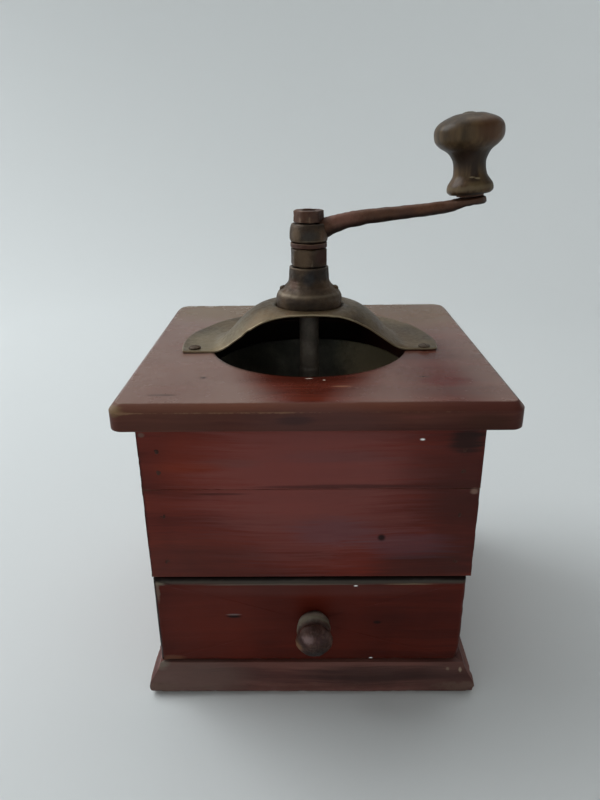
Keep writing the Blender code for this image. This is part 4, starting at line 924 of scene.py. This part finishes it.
def roundedPath(corners, radius, steps=5):
    # Each corner becomes a parabola that starts and ends the radius away from it, or half a side
    corners = np.array(corners, float)
    path = [corners[0]]
    for before, corner, after in zip(corners, corners[1:], corners[2:]):
        back, ahead = before - corner, after - corner
        start = corner + back * min(0.5, radius / np.linalg.norm(back))
        end = corner + ahead * min(0.5, radius / np.linalg.norm(ahead))
        for share in np.linspace(0, 1, steps):
            path.append(start * (1 - share) ** 2 + corner * 2 * share * (1 - share) + end * share ** 2)
    path.append(corners[-1])
    return np.array(path)


upright = (0, 0, 1)


def around(radius, angles, height=0):
    # Points at the angles, radius and height round the upright axis
    return np.stack(np.broadcast_arrays(radius * np.cos(angles), radius * np.sin(angles), height), -1)


def circle(count):
    return np.linspace(0, 2 * math.pi, count, endpoint=False)


def turnedGrid(profile, columns=96, centre=mill, axis=upright):
    # Each point of the profile, a radius and a height, goes round the axis
    radius, height = np.array(profile).T[..., None]
    turn = np.array(Vector(upright).rotation_difference(Vector(axis)).to_matrix())
    return around(radius, circle(columns), height) @ turn.T + np.array(centre)


def pebbled(depth, size, seed):
    # A cast or rusted skin: shallow hollows all over
    return lambda points: depth * (0.5 + 0.5 * ripple(points, size, seed))


def rimWear(bands, centre=mill, axis=upright):
    # Wear round a turned piece: each band has a radius, a height and a width
    centre, axis = np.array(centre), np.array(axis)

    def wear(points):
        offset = points - centre
        height = offset @ axis
        radius = np.linalg.norm(offset - height[:, None] * axis, axis=1)
        share = np.zeros(len(points))
        for bandRadius, bandHeight, width in bands:
            share = np.maximum(share, np.exp(-np.hypot(radius - bandRadius, height - bandHeight) / width))
        return share
    return wear


def turnedPiece(name, profile, material, body, node, pebbles, bands=(), columns=96, centre=mill, axis=upright,
                wrapRows=False):
    # Turns a profile about its axis; pebbles are the depth, size and seed of its skin
    skin(name, turnedGrid(profile, columns, centre, axis), material, body, node, wrapRows,
         wear=bands and rimWear(bands, centre, axis), hollow=pebbled(*pebbles))


bushLooks = {
    "radius": 0.0162, "height": 0.02025, "bore": 0.0052,
    "shares": (
        (0.54, 1.0), (0.585, 0.99), (0.592, 0.93), (0.600, 0.80), (0.608, 0.70), (0.628, 0.63), (0.69, 0.560),
        (0.78, 0.500), (0.87, 0.445), (0.945, 0.385), (0.99, 0.31), (1.0, 0.20), (0.985, 0.04), (0.955, 0.0),
    ),
    # radius and height of the rubbed bands, in shares, and their width
    "bands": ((0.56, 0.99, 0.0008), (0.93, 0.41, 0.0018)),
    "rivetRise": 0.0015,
}


def bushingPiece(looks):
    low, radius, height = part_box("bushing")[0].z, looks["radius"], looks["height"]
    profile = [(looks["bore"], low + height)]
    profile += [(radius * across, low + height * up) for across, up in looks["shares"]]
    profile = roundedPath(profile + [(looks["bore"], low)], 0.0012)
    bands = [(radius * across, low + height * up, width) for across, up, width in looks["bands"]]
    turnedPiece("bushing_cast", profile, castIron, "box", "bushing", (0.00022, 0.004, 51), bands, columns=120,
                wrapRows=True)


def rivetPiece(side, seed, rise):
    # A domed head over a narrower shank
    low, high = np.array(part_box("bushing_rivet_" + side))
    middle = (low + high) / 2 * (1, 1, 0)
    radius = (high[0] - low[0]) / 2
    seat = high[2] - rise
    dome = np.linspace(math.pi / 2 - 0.05, 0, 9)
    profile = [(radius * math.cos(a), seat + rise * math.sin(a)) for a in dome]
    profile += [(radius * 0.98, seat - 0.0008), (radius * 0.5, seat - 0.0012), (radius * 0.5, low[2])]
    turnedPiece("bushing_rivet_head_" + side, profile, castIron, "box", "bushing_rivet_" + side,
                (0.0003, 0.003, seed), columns=36, centre=middle)


bushingPiece(bushLooks)
for index, side in enumerate(("left", "right")):
    rivetPiece(side, 53 + index, bushLooks["rivetRise"])


def nutLevels(bore, face, height):
    # Height and largest radius of each row, from the bore out below, up a cone, a side and a cone, and in above
    cone, slope = 0.0012, 0.5
    rows = [(0, bore), (0, (bore + face) / 2), (0, face)]
    rows += [(rise, face + rise / slope) for rise in np.linspace(0, cone, 7)[1:]]
    rows += [(z, 1.0) for z in np.linspace(cone + 0.0001, height - cone - 0.0001, 9)]
    rows += [(height - rise, face + rise / slope) for rise in np.linspace(cone, 0, 7)[:-1]]
    return rows + [(height, face), (height, (bore + face) / 2), (height, bore), (height / 2, bore)]


def nutPiece(name, node, material, flats, turn, soft, bore, seed):
    # The radius is that of a hexagon with softened corners, cut to a cone at each end
    low, high = np.array(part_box(node))
    height = high[2] - low[2]
    flat = flats / 2
    face = flat * 0.97
    angles = circle(144)
    fold = (angles - turn) % (math.pi / 3) - math.pi / 6
    over = flat / np.cos(fold) - (flat / math.cos(math.pi / 6) - soft)
    hexagon = flat / np.cos(fold) - 0.75 * np.maximum(over, 0)
    levels = nutLevels(bore, face, height)
    grid = np.array([around(np.minimum(hexagon, limit), angles, level) for level, limit in levels])
    middle = (*mill[:2], low[2])

    def wear(points):
        # the corners and the rims of both faces
        offset = points - middle
        radius = np.linalg.norm(offset[:, :2], axis=1)
        ends = np.minimum(offset[:, 2], height - offset[:, 2])
        rim = np.exp(-ends / 0.0006) * softStep(radius, face * 0.9, face)
        return 0.8 * softStep(radius, flat * 1.06, flat * 1.15) + 0.7 * rim
    skin(name, grid + middle, material, node, node, wrapRows=True, sharp=32, wear=wear,
         hollow=pebbled(0.00018, 0.0035, seed))


nutPiece("adjusting_nut_worn", "adjusting_nut", castIron,
         flats=0.0162, turn=0.696, soft=0.0003, bore=0.0052, seed=61)
nutPiece("top_nut_worn", "top_nut", topNutSteel, flats=0.0132, turn=0.04, soft=0.0005, bore=0.0037, seed=62)


def washerPiece(bore, radius, spare):
    low, high = (corner.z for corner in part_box("crank_washer"))
    ends = ((bore, high + spare), (radius, high + spare), (radius, low - spare), (bore, low - spare))
    turnedPiece("crank_washer_worn", roundedPath(ends, 0.0003), rustySteel, "crank", "crank_washer",
                (0.0002, 0.003, 63), ((radius - 0.0001, high, 0.0007),), wrapRows=True)


washerPiece(bore=0.0052, radius=0.0088, spare=0.0001)

crankLooks = {
    "eyeRadius": 0.0093, "eyeHeight": 0.0086, "gap": 0.0003,
    "eyeShares": ((0.60, 1.0), (0.86, 1.0), (0.93, 0.86), (0.985, 0.57), (1.0, 0.22), (0.95, 0.0), (0.60, 0.0)),
    "throw": 0.0750, "rise": 0.0155, "lean": 0.102, "grime": 0.85,
    "flatFrom": 0.85, "flatPower": 2.5,  # the share along where the arm starts to grow flat, and how flat it gets
    "arm": (  # distance along, rise of the middle, half height and half width, in shares and metres
        (0.02, -0.06, 0.0040, 0.0044), (0.10, 0.11, 0.0046, 0.0046), (0.16, 0.225, 0.0043, 0.0042),
        (0.228, 0.320, 0.0039, 0.0038), (0.347, 0.425, 0.00365, 0.0036), (0.569, 0.543, 0.00324, 0.0033),
        (0.779, 0.650, 0.00300, 0.0032), (0.880, 0.727, 0.0028, 0.0036), (0.925, 0.782, 0.0024, 0.0050),
        (0.960, 0.838, 0.0020, 0.0062), (1.0, 0.877, 0.0019, 0.0073), (1.05, 0.905, 0.0019, 0.0064),
        (1.08, 0.922, 0.0018, 0.0046), (1.096, 0.932, 0.0012, 0.0024),
    ),
}


def spline(table, count):
    # A cubic through the table's rows, with each slope taken from the two neighbours, at evenly spread places
    table = np.array(table, float)
    steps = len(table) - 1
    place = np.linspace(0, steps, count)
    index = np.minimum(place.astype(int), steps - 1)
    share = (place - index)[:, None]
    slopes = np.gradient(table, axis=0)
    start, end = table[index], table[index + 1]
    return (
        start * (2 * share ** 3 - 3 * share ** 2 + 1) + end * (3 * share ** 2 - 2 * share ** 3)
        + slopes[index] * (share ** 3 - 2 * share ** 2 + share) + slopes[index + 1] * (share ** 3 - share ** 2)
    )


def crankPiece(looks):
    # The arm is an oval carried along a curve; it grows flat and wide towards the knob
    eyeLow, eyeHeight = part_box("crank_washer")[1].z + looks["gap"], looks["eyeHeight"]
    along, rise, halfHigh, halfWide = spline(looks["arm"], 110).T
    angles = circle(48)
    power = (2 / (2 + looks["flatPower"] * softStep(along, looks["flatFrom"], 1.0)))[:, None]
    wide = halfWide[:, None] * np.sign(np.cos(angles)) * np.abs(np.cos(angles)) ** power
    tall = halfHigh[:, None] * np.sign(np.sin(angles)) * np.abs(np.sin(angles)) ** power
    x = along * looks["throw"]
    z = eyeLow + eyeHeight / 2 + rise * looks["rise"]
    slope = np.gradient(z, x)
    length = np.hypot(1, slope)
    leanX, leanZ = (slope / length)[:, None], (1 / length)[:, None]
    grid = np.stack([x[:, None] - tall * leanX, mill[1] + wide, z[:, None] + tall * leanZ], -1)

    def grime(points):
        # painted shade: the underside is darkened
        below = np.interp(points[:, 0], x, z) - points[:, 2]
        return looks["grime"] * softStep(below / np.interp(points[:, 0], x, halfHigh), -0.1, 0.75)
    skin("crank_bar", grid, rustySteel, "crank", "crank_arm", hollow=pebbled(0.00025, 0.006, 71), grime=grime)
    profile = [(across * looks["eyeRadius"], eyeLow + up * eyeHeight) for across, up in looks["eyeShares"]]
    bands = ((0.0080, eyeLow + eyeHeight, 0.0008), (0.0091, eyeLow + 0.001, 0.0006))
    turnedPiece("crank_eye", roundedPath(profile, 0.0009), castIron, "crank", "crank_arm", (0.00022, 0.004, 72),
                bands, wrapRows=True)


crankPiece(crankLooks)

knobAxis = (-math.sin(crankLooks["lean"]), 0.0, math.cos(crankLooks["lean"]))
knobPlace = next(joint["pos_m"] for joint in frame["joints"] if joint["name"] == "knob_spin")
knobLooks = {
    "radius": 0.0157, "height": 0.0343, "bottom": 0.0014, "bore": 0.0025, "headSeat": 0.0037, "sink": 0.0011,
    "shares": (
        (0.24, 1.0), (0.40, 0.992), (0.58, 0.965), (0.785, 0.925), (0.925, 0.87), (0.99, 0.80), (0.985, 0.71),
        (0.93, 0.65), (0.80, 0.592), (0.64, 0.54), (0.54, 0.48), (0.475, 0.40), (0.470, 0.31), (0.495, 0.235),
        (0.570, 0.175), (0.645, 0.125), (0.675, 0.075), (0.665, 0.03), (0.60, 0.0),
    ),
}


def knobPiece(looks):
    # The outside, then down the bore, with the pin's head sunk in the top
    low, top, seat = looks["bottom"], looks["bottom"] + looks["height"], looks["sink"]
    across, up = spline(looks["shares"], 90).T
    profile = np.stack([across * looks["radius"], low + up * looks["height"]], -1)
    bore = [(looks["bore"], low), (looks["bore"], top - seat), (looks["headSeat"], top - seat * 0.9)]
    turnedPiece("crank_knob_turned", np.vstack([profile, bore]), knobWood, "crank_knob", "crank_knob",
                (0.00012, 0.012, 81), ((0.0106, low + 0.0030, 0.0030),), columns=128, centre=knobPlace,
                axis=knobAxis, wrapRows=True)


knobPiece(knobLooks)
pinLooks = {
    # radius, and height above the head's seat
    "head": ((0.0006, 0.00142), (0.0018, 0.0013), (0.0029, 0.0010), (0.0035, 0.0005), (0.0035, 0), (0.0022, 0)),
    "seat": knobLooks["bottom"] + knobLooks["height"] - 0.0008, "end": (0.0022, -0.0034),
}
profile = [(radius, pinLooks["seat"] + height) for radius, height in pinLooks["head"]] + [pinLooks["end"]]
turnedPiece("knob_pin_head", profile, pinSteel, "crank", "knob_pin", (0.00015, 0.003, 82), columns=48,
            centre=knobPlace, axis=knobAxis)

drawerKnobLooks = {
    "radius": 0.0096, "length": 0.0190,
    "shares": (
        (0.04, 1.0), (0.22, 0.985), (0.42, 0.945), (0.60, 0.885), (0.75, 0.81), (0.85, 0.735), (0.885, 0.67),
        (0.875, 0.61), (0.81, 0.56), (0.74, 0.525), (0.715, 0.50), (0.77, 0.465), (0.82, 0.40), (0.835, 0.30),
        (0.81, 0.20), (0.76, 0.12), (0.70, 0.06), (0.64, 0.0),
    ),
}


def drawerKnobPiece(looks):
    # The profile runs from the front end back to the drawer
    low, high = np.array(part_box("drawer_knob"))
    centre, axis = ((low[0] + high[0]) / 2, high[1], (low[2] + high[2]) / 2), (0, -1, 0)
    across, out = spline(looks["shares"], 70).T
    profile = np.stack([across * looks["radius"], np.minimum(out, 1) * looks["length"]], -1)
    bands = ((0.0081, looks["length"] * 0.34, 0.0014), (0.0093, looks["length"] * 0.67, 0.0008))
    turnedPiece("drawer_knob_turned", profile, drawerKnobWood, "drawer", "drawer_knob", (0.0004, 0.006, 91), bands,
                centre=centre, axis=axis)


drawerKnobPiece(drawerKnobLooks)
print("hub, crank and knobs made")

plateLooks = {
    "radius": 0.0634, "thickness": 0.0010, "bore": 0.0056,
    "height": 0.0198, "flat": 0.0176, "foot": 0.0492, "power": 1.26, "seat": 0.0164, "seatDepth": 0.0021,
    "cutFront": 0.0131, "cutLean": 0.4275, "cutSkew": 0.018,
    "nickAt": 211, "nick": 0.0010, "nickWidth": 0.030, "soft": 0.00025,
    "cutUneven": 0.00018, "rimUneven": 0.0001, "dents": 0.00022, "rimWear": 0.9, "wearWidth": 0.0009,
    "columns": 420, "rows": 64, "seed": 101,
}


def domeHeight(radius, looks):
    # Half a cosine from the crest's flat to the foot, with a shallow seat pressed in the middle
    share = np.clip((radius - looks["flat"]) / (looks["foot"] - looks["flat"]), 0, 1)
    rise = looks["height"] * (1 + np.cos(math.pi * share ** looks["power"])) / 2
    return rise - looks["seatDepth"] * softStep(radius, looks["seat"] + 0.0004, looks["seat"] - 0.0001)


def platePiece(looks):
    # Rays from the bore out to the rim or, at the front, to the leaning cut; each point takes the dome's height
    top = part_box("dome_plate")[1].z - looks["height"]
    angles = circle(looks["columns"])
    reach = np.full(len(angles), looks["radius"])
    down = -np.sin(angles) + looks["cutSkew"] * np.cos(angles)
    for step in range(60):  # the cut leans, so its reach and the dome's height there are found together
        cut = (looks["cutFront"] + looks["cutLean"] * domeHeight(reach, looks)) / np.maximum(down, 0.05)
        wanted = np.minimum(np.where(down > 0.05, cut, looks["radius"]), looks["radius"])
        reach = reach + 0.35 * (wanted - reach)
    uneven = np.where(reach < looks["radius"] - 0.0005, looks["cutUneven"], looks["rimUneven"])
    reach = reach + uneven * ripple(around(reach, angles), 0.012, looks["seed"])
    nick = looks["nick"] * np.exp(-((angles - math.radians(looks["nickAt"])) / looks["nickWidth"]) ** 2)
    reach = np.minimum(reach - nick, looks["radius"])
    share = np.linspace(0, 1, looks["rows"])[:, None] ** 0.9
    radius = looks["bore"] + (reach[None] - looks["bore"]) * share
    dents = ripple(around(radius, angles), 0.035, looks["seed"] + 1, 2) * softStep(radius, 0.018, 0.03)
    upper = around(radius, angles, domeHeight(radius, looks) + looks["dents"] * dents)
    lower = upper - (0, 0, looks["thickness"])
    soft = looks["soft"]
    rimUpper = upper[-1:] - (0, 0, soft)
    rimLower = upper[-1:] - (0, 0, looks["thickness"] - soft)
    for face in (upper, lower):
        face[-1, :, :2] *= (1 - soft / reach)[:, None]
    middle = (*mill[:2], top)
    grid = np.concatenate([upper, rimUpper, rimLower, lower[::-1]]) + middle

    def wear(points):
        # the rim and the cut edge
        offset = points - middle
        radius = np.linalg.norm(offset[:, :2], axis=1)
        bearing = np.arctan2(offset[:, 1], offset[:, 0]) % (2 * math.pi)
        rim = np.interp(bearing, angles, reach, period=2 * math.pi)
        return looks["rimWear"] * np.exp(-(rim - radius) / looks["wearWidth"])
    skin("dome_plate_worn", grid, plateSteel, "box", "dome_plate", wrapRows=True, sharp=50, wear=wear)


platePiece(plateLooks)

# Screws and nails

screwLooks = {"rise": 0.0011, "slotWidth": 0.0006, "slotDepth": 0.0003, "shank": 0.45}


def screwPiece(side, turn, seed, looks):
    # A low dome of polar rings; across the slot the height drops to its floor
    low, high = np.array(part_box("plate_screw_" + side))
    middle = (low + high) / 2 * (1, 1, 0)
    radius = (high[0] - low[0]) / 2
    rings = (np.linspace(0.02, 1, 22) ** 0.8)[:, None]
    dome = around(radius * rings, circle(72), high[2] + looks["rise"] * (np.sqrt(1 - 0.93 * rings ** 2) - 1))
    across = np.abs(dome @ (math.sin(turn), math.cos(turn), 0)) - looks["slotWidth"] / 2
    dome[..., 2] -= looks["slotDepth"] * softStep(across, 0.0001, -0.0001)
    rim, shank, tip = (
        dome[-1:] * (share, share, 0) + (0, 0, height)
        for share, height in (
            (1, high[2] - looks["rise"] - 0.0001), (looks["shank"], high[2] - looks["rise"] - 0.0001),
            (looks["shank"], low[2]),
        )
    )
    skin("plate_screw_head_" + side, np.concatenate([dome, rim, shank, tip]) + middle, castIron, "box",
         "plate_screw_" + side, sharp=30, hollow=pebbled(0.0001, 0.002, seed))


for index, side in enumerate(("left", "right", "back")):
    screwPiece(side, 0.3 + index, 111 + index, screwLooks)

nailLooks = {  # radius in shares and depth in the wood; the last radius goes on to the tip
    "head": ((0.1, 0), (0.7, 0.00003), (0.96, 0.00016), (1, 0.0004), (1, 0.0008), (0.5, 0.0009)), "shank": 0.5,
}
for node in sorted(frame["nodes"]):
    if "_nail_" in node:
        low, high = np.array(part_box(node))
        middle, radius = (low + high) / 2 * (1, 0, 1) + low * (0, 1, 0), (high[0] - low[0]) / 2
        profile = [(radius * share, depth) for share, depth in nailLooks["head"]]
        profile += [(radius * nailLooks["shank"], high[1] - low[1])]
        turnedPiece(node + "_head", profile, nailSteel, "box", node, (0.00015, 0.002, 121), columns=32,
                    centre=middle, axis=(0, 1, 0))

# Inside the mill

hopperLooks = {"mouth": 0.0494, "throat": 0.0227, "wall": 0.0012, "flange": 0.0085, "belly": 0.62, "rows": 40}


def hopperPiece(looks):
    # Out along the flange, down the outside and up the inside of the bowl
    low, high = (corner.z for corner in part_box("hopper_bowl"))
    wall, mouth, throat = looks["wall"], looks["mouth"], looks["throat"]
    share = np.linspace(0, 1, looks["rows"])
    radius = throat + (mouth - throat) * (1 - share) ** looks["belly"]
    drop = high - wall - (high - wall - low) * share
    inside = np.stack([radius - wall, drop + wall * (1 - share)], -1)[::-1]
    flange = mouth + looks["flange"]
    profile = np.vstack([[(flange, high), (flange, high - wall)], np.stack([radius, drop], -1), inside])
    turnedPiece("hopper_bowl_worn", profile, hopperSteel, "box", "hopper_bowl", (0.0002, 0.02, 131), columns=160,
                wrapRows=True)


hopperPiece(hopperLooks)
spindleLooks = {
    "tip": 0.0027, "thread": 0.0034, "neck": 0.0049, "shaft": 0.00535, "collar": 0.0075, "journal": 0.0040,
    "lift": 0.0015, "spare": 0.0003,
}


def spindlePiece(looks):
    # From the threaded tip down the tang, the neck, the shaft, its collar and the shaft again to the journal
    tip, thread, neck, shaft, collar, journal, lift, spare = looks.values()
    low, high = (corner.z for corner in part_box("spindle"))
    board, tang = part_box("top_board")[0].z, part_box("crank_washer")[0].z - lift
    burr, seat = (corner.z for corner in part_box("inner_burr"))
    profile = [
        (0.0001, high), (tip, high), (thread, high - 0.0007), (thread, tang), (neck, tang - 0.0004), (neck, board),
        (shaft, board - 0.001), (shaft, seat + 0.0045), (collar, seat + 0.0033), (collar, seat + spare),
        (shaft, seat + spare), (shaft, burr), (journal, burr), (journal, low),
    ]
    turnedPiece("spindle_worn", roundedPath(profile, 0.0006), spindleSteel, "spindle", "spindle",
                (0.0002, 0.006, 141), columns=72)


spindlePiece(spindleLooks)

nodeMaterials = {
    "mill_deck": innerWood, "outer_burr": burrSteel, "inner_burr": burrSteel, "burr_nut": burrSteel,
    "bearing_yoke": castIron, "lower_bush": spindleSteel, "knob_washer": rustySteel,
    "drawer_knob_screw": nailSteel,
}
for node, piece in frame["nodes"].items():
    material = nodeMaterials.get(node)
    if material is None and node.startswith(("hopper_tack", "burr_screw", "yoke_screw")):
        material = castIron
    if material is not None:
        piece.data.materials.clear()
        piece.data.materials.append(material)
print("inside made")


# Studio floor: a round cove, flat under the mill and curving up all round it

coveLooks = {
    "flat": 0.75, "radius": 1.7, "height": 1.0, "below": 0.0002, "rows": 40, "columns": 96, "color": "#d1d4d4",
}


def makeCove(looks):
    # The floor runs flat to the start of the curve and then up a quarter of an ellipse
    angles = np.linspace(0, math.pi / 2, looks["rows"])
    across = looks["flat"] + (looks["radius"] - looks["flat"]) * np.sin(angles)
    curve = np.stack([across, looks["height"] * (1 - np.cos(angles))], -1)
    grid = turnedGrid(np.vstack([[(0.01, 0.0), (0.3, 0.0)], curve]), looks["columns"], (0, 0, -looks["below"]))
    rows, columns = grid.shape[:2]
    mesh = bpy.data.meshes.new("studioFloor")
    faces = gridQuads(rows, columns).tolist() + [list(range(columns))]
    mesh.from_pydata(grid.reshape(-1, 3), [], faces)
    mesh.shade_smooth()
    paper = newFinish("matPaper", {"Base Color": linear(looks["color"]), "Roughness": 0.8})[0]
    mesh.materials.append(paper)
    newObject("studioFloor", mesh)


makeCove(coveLooks)
